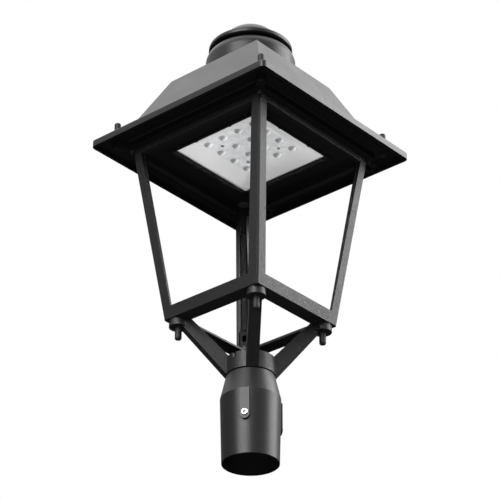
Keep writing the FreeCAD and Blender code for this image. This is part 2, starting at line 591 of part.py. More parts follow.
# Strip up the inner corner of the back leg. It hides the supply wires, which enter at its foot.
cover = new_body("cable_cover")
cover_foot = "(%s + cover_lift)" % lug_top
cover_levels = ((cover_foot, "cover_foot_width"),
                ("%s + cover_foot_height" % cover_foot, "cover_foot_width"),
                ("%s + cover_foot_height + cover_width" % cover_foot, "cover_width"),
                ("%s - cover_lift" % gusset_foot, "cover_width"))
sections = []
for level, wide in cover_levels:
    outer = "(sqrt(2) * (%s - cover_gap) - %s / 2)" % (cavity_half(level), wide)
    inner = "(%s - cover_thickness)" % outer
    strip = sketch(cover, "cover_section_%d" % len(sections), "XY_Plane", level)
    outline(strip, [(inner, "-%s / 2" % wide), (outer, "-%s / 2" % wide),
                    (outer, "%s / 2" % wide), (inner, "%s / 2" % wide)])
    sections.append(strip)
strip = loft(cover, "cover_strip", sections[0], sections[1])
strip.Sections = sections[1:]
slot = sketch(cover, "entry_slot", "YZ_Plane")
slot_low = "(%s + entry_height)" % cover_foot
slot_high = "(%s + entry_length)" % slot_low
outline(slot, [
    ("entry_radius", slot_low), ("entry_radius", slot_high, "0", slot_high, "x"),
    ("0", "%s + entry_radius" % slot_high, "0", slot_high, "y"), ("-entry_radius", slot_high),
    ("-entry_radius", slot_low, "0", slot_low, "x"),
    ("0", "%s - entry_radius" % slot_low, "0", slot_low, "y")])
pocket(cover, "entry", slot, "4 * cage_foot_half", midplane=True)
bind(cover, "Placement.Rotation.Angle", "135")

# ---------------------------------------------------------------- gear tray
# Shallow cast pan on the cage. The light engine stands in it and the roof closes on it.
tray = new_body("gear_tray")
rounded_block(tray, "tray_block", "tray_half", "tray_corner_radius", TRAY_BOTTOM, "tray_rim_height")
inside = sketch(tray, "tray_inside", "XY_Plane", TRAY_FLOOR_TOP)
rounded_square(inside, "tray_half - tray_wall", "tray_corner_radius - tray_wall")
pocket(tray, "tray_hollow", inside, "tray_rim_height", reverse=True)
window = sketch(tray, "tray_window", "XY_Plane", TRAY_BOTTOM)
square(window, "window_half")
pocket(tray, "tray_window_cut", window, "tray_floor", reverse=True)
boss = cylinder(tray, "corner_boss_up", "tray_boss_radius", "tray_boss_height",
                (EAR_REACH, EAR_REACH, "%s + tray_floor / 2" % TRAY_BOTTOM))
boss_hole = cylinder(tray, "corner_boss_bore", "corner_screw_radius + bolt_clearance",
                     "tray_boss_height + bore_end_gap", (EAR_REACH, EAR_REACH, TRAY_BOTTOM), cut=True)
post = cylinder(tray, "sink_post", "post_radius", "%s - %s" % (SINK_BOTTOM, TRAY_FLOOR_TOP),
                ("post_reach", "post_reach", TRAY_FLOOR_TOP))
post_hole = cylinder(tray, "sink_post_bore", "post_screw_radius + bolt_clearance",
                     "post_screw_grip + 2 * bore_end_gap",
                     ("post_reach", "post_reach", "%s - post_screw_grip" % SINK_BOTTOM), cut=True)
polar(tray, "tray_corners", [boss, boss_hole, post, post_hole], 4)
catch_top = "(%s - catch_gap)" % FLANGE_BOTTOM
catch_bottom = "(%s - catch_height)" % catch_top
for name, side in (("left", "-"), ("right", "")):
    spot = (side + FINIAL_REACH, "-" + FINIAL_REACH)
    web = tray.newObject("PartDesign::AdditiveBox", "catch_web_" + name)
    bind(web, "Length", "%s * sqrt(2) - %s" % (FINIAL_REACH, CATCH_WEB_START))
    bind(web, "Width", "2 * catch_radius")
    bind(web, "Height", "%s - %s" % (TRAY_RIM, catch_bottom))
    turn = "225" if side else "315"
    put(web, "%s * cos(%s) + catch_radius * sin(%s)" % (CATCH_WEB_START, turn, turn),
        "%s * sin(%s) - catch_radius * cos(%s)" % (CATCH_WEB_START, turn, turn),
        catch_bottom, Rotation(UP, float(turn)))
    cylinder(tray, "catch_" + name, "catch_radius", "catch_height", spot + (catch_bottom,))
    cylinder(tray, "catch_bore_" + name, "catch_bore_radius", "catch_height",
             spot + ("%s + catch_floor" % catch_bottom,), cut=True)
    cylinder(tray, "catch_hole_" + name, "finial_shank_radius + finial_hole_gap", "2 * catch_floor",
             spot + ("%s - catch_floor / 2" % catch_bottom,), cut=True)
for name, side in (("left", "-"), ("right", "")):
    centre = "%shinge_spread" % side
    box(tray, "hinge_arm_" + name,
        ("%s - knuckle_width / 2" % centre, "tray_half - tray_wall", "%s - knuckle_radius" % HINGE_Z),
        ("%s + knuckle_width / 2" % centre, "hinge_y", "%s + knuckle_radius" % HINGE_Z))
    cylinder(tray, "knuckle_" + name, "knuckle_radius", "knuckle_width",
             ("%s - knuckle_width / 2" % centre, "hinge_y", HINGE_Z), TURN_X)
    cylinder(tray, "knuckle_bore_" + name, "pin_radius + pin_clearance", "2 * knuckle_width",
             ("%s - knuckle_width" % centre, "hinge_y", HINGE_Z), TURN_X, cut=True)
cylinder(tray, "grommet_hole", "grommet_radius", "2 * tray_floor",
         ("-grommet_reach", "grommet_reach", "%s - tray_floor / 2" % TRAY_BOTTOM), cut=True)
clip_reach = "(pane_half + clip_gap + (clip_length + clip_thickness) / 2)"
clip_hole = cylinder(tray, "clip_hole_a", "small_screw_radius + bolt_clearance", "2 * tray_floor",
                     (clip_reach, "clip_spread", "%s - tray_floor / 2" % TRAY_BOTTOM), cut=True)
clip_hole_b = cylinder(tray, "clip_hole_b", "small_screw_radius + bolt_clearance", "2 * tray_floor",
                       (clip_reach, "-clip_spread", "%s - tray_floor / 2" % TRAY_BOTTOM), cut=True)
bezel_spot = "((bezel_half + window_half) / 2)"
bezel_hole = cylinder(tray, "bezel_hole_up", "small_screw_radius + bolt_clearance", "2 * tray_floor",
                      (bezel_spot, "clip_spread / 2", "%s - tray_floor / 2" % TRAY_BOTTOM), cut=True)
bezel_hole_b = cylinder(tray, "bezel_hole_up_b", "small_screw_radius + bolt_clearance", "2 * tray_floor",
                        (bezel_spot, "-clip_spread / 2", "%s - tray_floor / 2" % TRAY_BOTTOM), cut=True)
polar(tray, "window_holes", [clip_hole, clip_hole_b, bezel_hole, bezel_hole_b], 4)

# Rubber bush in the tray floor, over the back leg's cable cover.
grommet = new_body("cable_grommet")
profile = sketch(grommet, "grommet_profile", "XZ_Plane")
lip_radius = "grommet_radius + grommet_lip"
outline(profile, [
    ("grommet_bore", "%s - grommet_lip" % TRAY_BOTTOM), (lip_radius, "%s - grommet_lip" % TRAY_BOTTOM),
    (lip_radius, TRAY_BOTTOM), ("grommet_radius", TRAY_BOTTOM), ("grommet_radius", TRAY_FLOOR_TOP),
    (lip_radius, TRAY_FLOOR_TOP), (lip_radius, "%s + grommet_lip" % TRAY_FLOOR_TOP),
    ("grommet_bore", "%s + grommet_lip" % TRAY_FLOOR_TOP)])
revolve(grommet, "grommet_turned", profile)
bind(grommet, "Placement.Base.x", "-grommet_reach")
bind(grommet, "Placement.Base.y", "grommet_reach")


def ring_pad(body, name, outer, inner, outer_radius, inner_radius, bottom, height):
    """A flat square ring; a radius of 0 leaves that corner sharp."""
    flat = sketch(body, name + "_outline", "XY_Plane", bottom)
    for half, radius in ((outer, outer_radius), (inner, inner_radius)):
        if radius == "0":
            square(flat, half)
        else:
            rounded_square(flat, half, radius)
    return pad(body, name, flat, height)


gasket = new_body("tray_gasket")
ring_pad(gasket, "tray_seal", "tray_half", "tray_half - tray_wall", "tray_corner_radius",
         "tray_corner_radius - tray_wall", TRAY_RIM, "gasket_height")

# ---------------------------------------------------------------- light window
bezel = new_body("glass_bezel")
ring_pad(bezel, "bezel_ring", "bezel_half", "bezel_inner_half", "0", "0",
         "%s - bezel_height" % TRAY_BOTTOM, "bezel_height")
holes = []
for side in ("", "-"):
    holes.append(cylinder(bezel, "bezel_hole_%d" % len(holes), "small_screw_radius + bolt_clearance",
                          "2 * bezel_height", (bezel_spot, side + "clip_spread / 2",
                                               "%s - 1.5 * bezel_height" % TRAY_BOTTOM), cut=True))
polar(bezel, "bezel_holes", holes, 4)


def small_screws(label, spots, head_bottom, length, points_up):
    """Pan-head screws of the smallest size, four times two, upright."""
    body = new_body(label)
    made = []
    shank_low = "%s - %s" % (head_bottom, length)
    if points_up:
        shank_low = "%s + small_head_height / 2" % head_bottom
    for x, y in spots:
        tag = "%s_%d" % (label, len(made))
        made.append(cylinder(body, tag + "_head", "small_head_radius", "small_head_height",
                             (x, y, head_bottom)))
        made.append(cylinder(body, tag + "_shank", "small_screw_radius",
                             "%s + small_head_height / 2" % length, (x, y, shank_low)))
    polar(body, label + "_all", made, 4)
    return body


small_screws("bezel_screws", [(bezel_spot, "clip_spread / 2"), (bezel_spot, "-clip_spread / 2")],
             "(%s - bezel_height - small_head_height)" % TRAY_BOTTOM, "(bezel_height + tray_floor)", True)

pane = new_body("glass_pane")
ring = sketch(pane, "pane_outline", "XY_Plane", PANE_BOTTOM)
rounded_square(ring, "pane_half", "pane_corner_radius")
pad(pane, "pane_sheet", ring, "pane_thickness")

pane_gasket = new_body("glass_gasket")
ring_pad(pane_gasket, "pane_seal", "pane_half - clip_gap", "pane_half - pane_gasket_width + clip_gap",
         "0", "0", TRAY_FLOOR_TOP, "pane_gasket_height")

# Bent spring clips, two a side, that hold the glass down on its seal.
clips = new_body("glass_clips")
heel = "(pane_half + clip_gap)"
foot_end = "(%s + clip_length)" % heel
bend = "(%s + clip_thickness)" % heel
foot_top = "(%s + clip_thickness)" % TRAY_FLOOR_TOP
toe = "(pane_half - clip_overhang)"
clip_top = "(%s + pane_thickness + clip_thickness)" % PANE_BOTTOM
clip_under = "(%s - clip_thickness)" % clip_top
for hand, offset, spread in (("a", "clip_spread", "-clip_spread"), ("b", "-clip_spread", "clip_spread")):
    side = sketch(clips, "clip_side_" + hand, "XZ_Plane", offset)
    outline(side, [
        (heel, TRAY_FLOOR_TOP), (foot_end, TRAY_FLOOR_TOP), (foot_end, foot_top), (bend, foot_top),
        (bend, clip_top), (toe, clip_top), (toe, clip_under), (heel, clip_under)])
    clip = pad(clips, "clip_" + hand, side, "clip_width", midplane=True)
    polar(clips, "clips_" + hand, [clip], 4)
    clip_bore = cylinder(clips, "clip_bore_" + hand, "small_screw_radius + bolt_clearance",
                         "3 * clip_thickness",
                         (clip_reach, spread, "%s - clip_thickness" % TRAY_FLOOR_TOP), cut=True)
    polar(clips, "clip_bores_" + hand, [clip_bore], 4)
small_screws("clip_screws", [(clip_reach, "clip_spread"), (clip_reach, "-clip_spread")],
             "(%s + clip_thickness)" % TRAY_FLOOR_TOP, "(clip_thickness + tray_floor)", False)

# ---------------------------------------------------------------- light engine
# White funnel between the glass and the lit board.
reflector = new_body("reflector")
square_loft(reflector, "funnel", "reflector_foot_half + reflector_wall", REFLECTOR_BOTTOM,
            "reflector_head_half + reflector_wall", BOARD_BOTTOM)
square_loft(reflector, "funnel_inside", "reflector_foot_half", REFLECTOR_BOTTOM,
            "reflector_head_half", BOARD_BOTTOM, cut=True)

# Sixteen domed lenses on one clear plate, in four rows of four.
lens_bottom = "(%s - lens_plate_thickness)" % BOARD_BOTTOM
lens_first = "(-(lens_count - 1) / 2 * lens_pitch)"
lens_plate = new_body("lens_plate")
square_plate = sketch(lens_plate, "lens_plate_outline", "XY_Plane", lens_bottom)
square(square_plate, "lens_plate_half")
pad(lens_plate, "lens_sheet", square_plate, "lens_plate_thickness")
profile = sketch(lens_plate, "lens_profile", "XZ_Plane", "-%s" % lens_first)
ball = "((lens_radius ^ 2 + lens_height ^ 2) / (2 * lens_height))"
ball_centre = "(%s - lens_height + %s)" % (lens_bottom, ball)
outline(profile, [
    (lens_first, "%s - lens_height" % lens_bottom, lens_first, ball_centre, "y"),
    ("%s + lens_radius" % lens_first, lens_bottom),
    ("%s + lens_radius" % lens_first, "%s + lens_plate_thickness / 2" % lens_bottom),
    (lens_first, "%s + lens_plate_thickness / 2" % lens_bottom)])
dome = lens_plate.newObject("PartDesign::Revolution", "lens_dome")
dome.Profile = profile
dome.ReferenceAxis = (profile, ["Edge4"])
dome.Angle = 360
chip_seat = box(lens_plate, "chip_seat",
                ("%s - chip_half - clip_gap" % lens_first, "%s - chip_half - clip_gap" % lens_first,
                 "%s - chip_pocket" % BOARD_BOTTOM),
                ("%s + chip_half + clip_gap" % lens_first, "%s + chip_half + clip_gap" % lens_first,
                 "%s + chip_pocket" % BOARD_BOTTOM), cut=True)
grid(lens_plate, "lens_grid", [dome], "lens_pitch", "lens_count")
grid(lens_plate, "seat_grid", [chip_seat], "lens_pitch", "lens_count")
board_hole = cylinder(lens_plate, "plate_screw_hole", "small_screw_radius + bolt_clearance",
                      "2 * lens_plate_thickness",
                      ("lens_pitch", "lens_pitch", "%s - lens_plate_thickness / 2" % lens_bottom), cut=True)
polar(lens_plate, "plate_screw_holes", [board_hole], 4)

# Tiny lit chips, each in a seat behind its lens.
chips = new_body("led_chips")
chip = box(chips, "chip", ("%s - chip_half" % lens_first, "%s - chip_half" % lens_first,
                           "%s - chip_height" % BOARD_BOTTOM),
           ("%s + chip_half" % lens_first, "%s + chip_half" % lens_first, BOARD_BOTTOM))
grid(chips, "chips_all", [chip], "lens_pitch", "lens_count")

board = new_body("led_board")
flat = sketch(board, "board_outline", "XY_Plane", BOARD_BOTTOM)
square(flat, "board_half")
pad(board, "board_sheet", flat, "board_thickness")
board_hole = cylinder(board, "board_hole", "small_screw_radius + bolt_clearance", "3 * board_thickness",
                      ("lens_pitch", "lens_pitch", "%s - board_thickness" % BOARD_BOTTOM), cut=True)
polar(board, "board_holes", [board_hole], 4)
small_screws("board_screws", [("lens_pitch", "lens_pitch")], "(%s - small_head_height)" % lens_bottom,
             "(lens_plate_thickness + board_thickness + board_screw_grip)", True)

# ---------------------------------------------------------------- heat sink
sink = new_body("heat_sink")
flat = sketch(sink, "sink_outline", "XY_Plane", SINK_BOTTOM)
rounded_square(flat, "sink_half", "post_radius")
pad(sink, "sink_plate", flat, "sink_base")
fin = box(sink, "fin", ("-(fin_count - 1) / 2 * fin_pitch - fin_thickness / 2", "-fin_half_length", SINK_TOP),
          ("-(fin_count - 1) / 2 * fin_pitch + fin_thickness / 2", "fin_half_length",
           "%s + fin_height" % SINK_TOP))
row_of(sink, "fins", [fin], "X_Axis", "(fin_count - 1) * fin_pitch", "fin_count")
sink_holes = [
    cylinder(sink, "post_screw_hole", "post_screw_radius + bolt_clearance", "2 * sink_base",
             ("post_reach", "post_reach", "%s - sink_base / 2" % SINK_BOTTOM), cut=True),
    cylinder(sink, "board_screw_bore", "small_screw_radius + bolt_clearance",
             "board_screw_grip + bore_end_gap",
             ("lens_pitch", "lens_pitch", SINK_BOTTOM), cut=True)]
polar(sink, "sink_holes", sink_holes, 4)

sink_screws = new_body("sink_screws")
head = cylinder(sink_screws, "sink_screw_head", "post_screw_head", "post_screw_head_height",
                ("post_reach", "post_reach", SINK_TOP))
shank = cylinder(sink_screws, "sink_screw_shank", "post_screw_radius", "sink_base + post_screw_grip",
                 ("post_reach", "post_reach", "%s - post_screw_grip" % SINK_BOTTOM))
key = hexagon(sink_screws, "sink_screw_key", "post_key_radius", "2 * post_key_depth",
              ("post_reach", "post_reach", "%s + post_screw_head_height - post_key_depth" % SINK_TOP),
              cut=True)
polar(sink_screws, "four_sink_screws", [head, shank, key], 4)

# ---------------------------------------------------------------- gear above the fins
CORNERS = (("", ""), ("-", ""), ("-", "-"), ("", "-"))
standoffs = new_body("gear_standoffs")
for i, (sx, sy) in enumerate(CORNERS):
    spot = (sx + "standoff_x", sy + "standoff_y")
    hexagon(standoffs, "standoff_%d" % i, "standoff_radius", "%s - %s" % (PLATE_BOTTOM, SINK_TOP),
            spot + (SINK_TOP,))
    cylinder(standoffs, "standoff_bore_%d" % i, "gear_screw_radius + bolt_clearance", "fin_height / 2",
             spot + ("%s - fin_height / 2" % PLATE_BOTTOM,), cut=True)

gear_plate = new_body("gear_plate")
box(gear_plate, "gear_sheet", ("-standoff_x - plate_edge", "-standoff_y - plate_edge", PLATE_BOTTOM),
    ("standoff_x + plate_edge", "standoff_y + plate_edge", PLATE_TOP))
for i, (sx, sy) in enumerate(CORNERS):
    cylinder(gear_plate, "plate_hole_%d" % i, "gear_screw_radius + bolt_clearance", "3 * plate_sheet",
             (sx + "standoff_x", sy + "standoff_y", "%s - plate_sheet" % PLATE_BOTTOM), cut=True)

driver = new_body("led_driver")
box(driver, "driver_case", ("-driver_length / 2", "driver_offset - driver_width / 2", PLATE_TOP),
    ("driver_length / 2", "driver_offset + driver_width / 2", "%s + driver_height" % PLATE_TOP))
dress(driver, "driver_edges", "Fillet", driver.Tip, "Radius", "driver_radius", is_upright)
box(driver, "driver_ears", ("-driver_length / 2 - driver_ear", "driver_offset - driver_ear", PLATE_TOP),
    ("driver_length / 2 + driver_ear", "driver_offset + driver_ear", "%s + driver_ear_height" % PLATE_TOP))
for i, side in enumerate(("", "-")):
    spot = ("%s(driver_length + driver_ear) / 2" % side, "driver_offset")
    for body, depth, start in ((driver, "driver_ear_height", PLATE_TOP),
                               (gear_plate, "plate_sheet", PLATE_BOTTOM)):
        cylinder(body, "%s_ear_hole_%d" % (body.Label, i), "gear_screw_radius + bolt_clearance",
                 "2 * " + depth, spot + ("%s - %s / 2" % (start, depth),), cut=True)

guard = new_body("surge_protector")
box(guard, "guard_case", ("-guard_offset - guard_length / 2", "-guard_offset - guard_width / 2", PLATE_TOP),
    ("-guard_offset + guard_length / 2", "-guard_offset + guard_width / 2", "%s + guard_height" % PLATE_TOP))
dress(guard, "guard_edges", "Fillet", guard.Tip, "Radius", "driver_radius", is_upright)

terminal = new_body("terminal_block")
box(terminal, "terminal_case",
    ("guard_offset - terminal_length / 2", "-guard_offset - terminal_width / 2", PLATE_TOP),
    ("guard_offset + terminal_length / 2", "-guard_offset + terminal_width / 2",
     "%s + terminal_height" % PLATE_TOP))
first_way = "guard_offset - (terminal_ways - 1) / 2 * terminal_pitch"
way = cylinder(terminal, "terminal_way", "terminal_way_radius", "2 * terminal_width",
               (first_way, "-guard_offset + terminal_width", "%s + terminal_way_height" % PLATE_TOP),
               Rotation(Vector(1, 0, 0), 90), cut=True)
row_of(terminal, "terminal_way_row", [way], "X_Axis", "(terminal_ways - 1) * terminal_pitch", "terminal_ways")
screw_way = cylinder(terminal, "terminal_screw_way", "terminal_way_radius", "2 * terminal_screw_depth",
                     (first_way, "-guard_offset",
                      "%s + terminal_height - terminal_screw_depth" % PLATE_TOP), cut=True)
row_of(terminal, "terminal_screw_row", [screw_way], "X_Axis", "(terminal_ways - 1) * terminal_pitch",
       "terminal_ways")

gear_screws = new_body("gear_screws")
spots = [(sx + "standoff_x", sy + "standoff_y", PLATE_TOP, "gear_screw_grip") for sx, sy in CORNERS]
spots += [("%s(driver_length + driver_ear) / 2" % side, "driver_offset",
           "(%s + driver_ear_height)" % PLATE_TOP, "driver_ear_height") for side in ("", "-")]
for i, (x, y, seat, grip) in enumerate(spots):
    cylinder(gear_screws, "gear_screw_head_%d" % i, "gear_screw_head", "gear_screw_head_height", (x, y, seat))
    cylinder(gear_screws, "gear_screw_shank_%d" % i, "gear_screw_radius", "%s + plate_sheet + run_in" % grip,
             (x, y, "%s - %s - plate_sheet" % (seat, grip)))

# ---------------------------------------------------------------- roof shell
# Hipped casting with a flat, downturned rim, hollow over the gear.


def on_top_rim(edge):
    """An edge around the outside of the rim's upper face."""
    reach = edge.BoundBox
    outermost = max(abs(reach.XMin), abs(reach.XMax), abs(reach.YMin), abs(reach.YMax))
    level = abs(reach.ZMin - number(FLANGE_TOP)) < 0.01 and reach.ZLength < 0.01
    return level and outermost > number("roof_half - roof_corner_radius")


def on_hip(edge):
    """A leaning edge between two roof slopes."""
    rise = abs(edge.Vertexes[-1].Z - edge.Vertexes[0].Z)
    return rise > number("slope_height / 2")


roof = new_body("roof_shell")
lip_bottom = "(%s - lip_drop)" % FLANGE_BOTTOM
rim = rounded_block(roof, "rim_block", "roof_half", "roof_corner_radius", lip_bottom,
                    "lip_drop + flange_thickness")
dress(roof, "rim_round", "Fillet", rim, "Radius", "lip_round", on_top_rim)
under = sketch(roof, "under_rim", "XY_Plane", lip_bottom)
rounded_square(under, "roof_half - lip_wall", "roof_corner_radius - lip_wall")
pocket(roof, "under_rim_cut", under, "lip_drop", reverse=True)
ring_pad(roof, "rain_rib", "rib_half + rib_width / 2", "rib_half - rib_width / 2", "0", "0",
         "%s - rib_height" % FLANGE_BOTTOM, "rib_height + run_in / 2")
square_loft(roof, "slope", "slope_foot_half", FLANGE_TOP, "slope_head_half", SLOPE_TOP)
dress(roof, "hip_rounds", "Fillet", roof.Tip, "Radius", "hip_round", on_hip)
square_loft(roof, "crown", "slope_head_half - hip_round / 2", SLOPE_TOP, "crown_half", CROWN_TOP)
knee = "(%s + cavity_knee)" % FLANGE_TOP
knee_half = "(slope_foot_half - (slope_foot_half - slope_head_half) * cavity_knee / slope_height - roof_wall)"
square_loft(roof, "cavity_foot", "cavity_foot_half", FLANGE_BOTTOM, knee_half, knee, cut=True)
square_loft(roof, "cavity", knee_half, knee, "slope_head_half - roof_wall + hip_round / 2",
            "%s - roof_wall" % SLOPE_TOP, cut=True)
cylinder(roof, "crown_hole", "crown_hole_radius", "3 * roof_wall",
         ("0", "0", "%s - 2 * roof_wall" % CROWN_TOP), cut=True)
finial_hole = cylinder(roof, "finial_hole", "finial_shank_radius + finial_hole_gap", "3 * flange_thickness",
                       (FINIAL_REACH, FINIAL_REACH, "%s - flange_thickness" % FLANGE_BOTTOM), cut=True)
finial_pocket = cylinder(roof, "finial_pocket", "finial_pocket_radius", "finial_pocket_height",
                         (FINIAL_REACH, FINIAL_REACH, FLANGE_TOP), cut=True)
neck_hole = cylinder(roof, "neck_screw_hole", "neck_screw_radius + bolt_clearance", "4 * roof_wall",
                     ("neck_screw_reach", "0", "%s - 2 * roof_wall" % CROWN_TOP), cut=True)
polar(roof, "roof_corners", [finial_hole, finial_pocket, neck_hole], 4)

# ---------------------------------------------------------------- closing screws and roof studs


def finial(body, name, spot, tail):
    """A bright dome-ended rod on the rim, with a thinner shank through it."""
    profile = sketch(body, name + "_profile", "XZ_Plane")
    top = "(%s + finial_height)" % FLANGE_TOP
    ball = "((finial_radius ^ 2 + finial_dome ^ 2) / (2 * finial_dome))"
    outline(profile, [
        ("0", "%s - %s" % (FLANGE_TOP, tail)), ("finial_shank_radius", "%s - %s" % (FLANGE_TOP, tail)),
        ("finial_shank_radius", FLANGE_TOP), ("finial_radius", FLANGE_TOP),
        ("finial_radius", "%s - finial_dome" % top, "0", "%s - %s" % (top, ball), "x"), ("0", top)])
    revolve(body, name, profile)
    for axis, text in zip("xy", spot):
        bind(body, "Placement.Base." + axis, text)


ring_top = "(%s - finial_travel - ring_slack)" % FLANGE_BOTTOM
for name, side in (("left", "-"), ("right", "")):
    spot = (side + FINIAL_REACH, "-" + FINIAL_REACH)
    screw = new_body("closing_screw_" + name)
    finial(screw, "closing_turned_" + name, spot, "finial_shank_length")
    ring = new_body("captive_ring_" + name)
    profile = sketch(ring, "ring_profile_" + name, "XZ_Plane")
    outline(profile, [
        ("finial_shank_radius", "%s - ring_thickness" % ring_top),
        ("ring_radius", "%s - ring_thickness" % ring_top),
        ("ring_radius", ring_top), ("finial_shank_radius", ring_top)])
    revolve(ring, "ring_turned_" + name, profile)
    for axis, text in zip("xy", spot):
        bind(ring, "Placement.Base." + axis, text)
for name, side in (("left", "-"), ("right", "")):
    spot = (side + FINIAL_REACH, FINIAL_REACH)
    stud = new_body("roof_stud_" + name)
    finial(stud, "stud_turned_" + name, spot, "(flange_thickness + nut_height + stud_tail)")
stud_nuts = new_body("stud_nuts")
for i, side in enumerate(("-", "")):
    spot = (side + FINIAL_REACH, FINIAL_REACH, "%s - nut_height" % FLANGE_BOTTOM)
    hexagon(stud_nuts, "stud_nut_%d" % i, "nut_radius", "nut_height", spot)
    cylinder(stud_nuts, "stud_nut_bore_%d" % i, "finial_shank_radius", "2 * nut_height",
             (side + FINIAL_REACH, FINIAL_REACH, "%s - 1.5 * nut_height" % FLANGE_BOTTOM), cut=True)

# ---------------------------------------------------------------- hinge
# Each bracket hangs under the rim, with an ear on either side of the tray's knuckle.
plate_low = "(%s - leaf_plate)" % FLANGE_BOTTOM
for name, side in (("left", "-"), ("right", "")):
    centre = side + "hinge_spread"
    bracket = new_body("hinge_bracket_" + name)
    ear_in = "(knuckle_width / 2 + leaf_gap)"
    ear_out = "(knuckle_width / 2 + leaf_gap + leaf_thickness)"
    box(bracket, "leaf_plate_" + name,
        ("%s - %s" % (centre, ear_out), "hinge_y - leaf_plate_front", plate_low),
        ("%s + leaf_tail" % centre, "hinge_y + leaf_plate_back", FLANGE_BOTTOM))
    for hand, (low, high) in enumerate((("-" + ear_out, "-" + ear_in), (ear_in, ear_out))):
        box(bracket, "ear_%s_%d" % (name, hand),
            ("%s + %s" % (centre, low), "hinge_y - leaf_radius", HINGE_Z),
            ("%s + %s" % (centre, high), "hinge_y + leaf_plate_back", "%s + leaf_plate / 2" % plate_low))
        cylinder(bracket, "ear_round_%s_%d" % (name, hand), "leaf_radius", "leaf_thickness",
                 ("%s + %s" % (centre, low), "hinge_y", HINGE_Z), TURN_X)
    cylinder(bracket, "ear_bore_" + name, "pin_radius + pin_clearance", "pin_length + knuckle_width",
             ("%s - (pin_length + knuckle_width) / 2" % centre, "hinge_y", HINGE_Z), TURN_X, cut=True)
    spot = ("%s + leaf_screw_x" % centre, "hinge_y - leaf_screw_y")
    cylinder(bracket, "leaf_screw_hole_" + name, "leaf_screw_radius + bolt_clearance", "3 * leaf_plate",
             spot + ("%s - leaf_plate" % plate_low,), cut=True)
    cylinder(roof, "leaf_screw_bore_" + name, "leaf_screw_radius + bolt_clearance",
             "leaf_screw_grip + bore_end_gap / 2", spot + (FLANGE_BOTTOM,), cut=True)
    pin = new_body("hinge_pin_" + name)
    cylinder(pin, "pin_" + name, "pin_radius", "pin_length",
             ("%s - pin_length / 2" % centre, "hinge_y", HINGE_Z), TURN_X)
bracket_screws = new_body("hinge_screws")
for i, side in enumerate(("-", "")):
    spot = (side + "hinge_spread + leaf_screw_x", "hinge_y - leaf_screw_y")
    cylinder(bracket_screws, "hinge_screw_head_%d" % i, "leaf_head_radius", "leaf_head_height",
             spot + ("%s - leaf_head_height" % plate_low,))
    cylinder(bracket_screws, "hinge_screw_shank_%d" % i, "leaf_screw_radius",
             "leaf_plate + leaf_screw_grip + run_in", spot + ("%s - run_in" % plate_low,))
    hexagon(bracket_screws, "hinge_screw_key_%d" % i, "leaf_key_radius", "leaf_key_depth",
            spot + ("%s - leaf_head_height" % plate_low,), cut=True)

# ---------------------------------------------------------------- chimney
# Spun neck with a rounded shoulder, screwed to the roof's crown from inside.
neck_seal = new_body("neck_gasket")
cylinder(neck_seal, "neck_seal", "neck_radius", "neck_gasket_height", ("0", "0", CROWN_TOP))
cylinder(neck_seal, "neck_seal_hole", "neck_foot_inner", "3 * neck_gasket_height",
         ("0", "0", "%s - neck_gasket_height" % CROWN_TOP), cut=True)
seal_hole = cylinder(neck_seal, "neck_seal_bore", "neck_screw_radius + bolt_clearance",
                     "3 * neck_gasket_height",
                     ("neck_screw_reach", "0", "%s - neck_gasket_height" % CROWN_TOP), cut=True)
polar(neck_seal, "neck_seal_bores", [seal_hole], 4)

neck = new_body("chimney_neck")
profile = sketch(neck, "neck_profile", "XZ_Plane")
shoulder_run = "(neck_radius - neck_top_radius)"
arc_radius = "((%s ^ 2 + neck_shoulder ^ 2) / (2 * %s))" % (shoulder_run, shoulder_run)
arc_x = "(neck_radius - %s)" % arc_radius
shoulder_top = "(%s + neck_shoulder)" % SHOULDER
plate_bottom = "(%s - neck_top_plate)" % shoulder_top
inner_x = "(neck_radius - neck_wall)"
outline(profile, [
    ("neck_foot_inner", NECK_BOTTOM), ("neck_radius", NECK_BOTTOM),
    ("neck_radius", SHOULDER, arc_x, SHOULDER, "x"), ("neck_top_radius", shoulder_top),
    ("collar_radius", shoulder_top), ("collar_radius", NECK_TOP), ("tie_radius + bolt_clearance", NECK_TOP),
    ("tie_radius + bolt_clearance", "%s - neck_top_plate" % shoulder_top),
    ("neck_top_radius - neck_wall", "%s - neck_top_plate" % shoulder_top),
    (inner_x, SHOULDER), (inner_x, "%s + neck_foot_height" % NECK_BOTTOM),
    ("neck_foot_inner", "%s + neck_foot_height" % NECK_BOTTOM)])
revolve(neck, "neck_spun", profile)
neck_bore = cylinder(neck, "neck_bore", "neck_screw_radius + bolt_clearance",
                     "neck_foot_height + 2 * bore_end_gap",
                     ("neck_screw_reach", "0", "%s - bore_end_gap" % NECK_BOTTOM), cut=True)
polar(neck, "neck_bores", [neck_bore], 4)

neck_screws = new_body("neck_screws")
head = cylinder(neck_screws, "neck_screw_head_low", "neck_screw_head", "neck_screw_head_height",
                ("neck_screw_reach", "0", "%s - neck_screw_head_height" % CEILING))
shank = cylinder(neck_screws, "neck_screw_shank", "neck_screw_radius",
                 "%s - %s + neck_foot_height" % (NECK_BOTTOM, CEILING), ("neck_screw_reach", "0", CEILING))
polar(neck_screws, "four_neck_screws", [head, shank], 4)

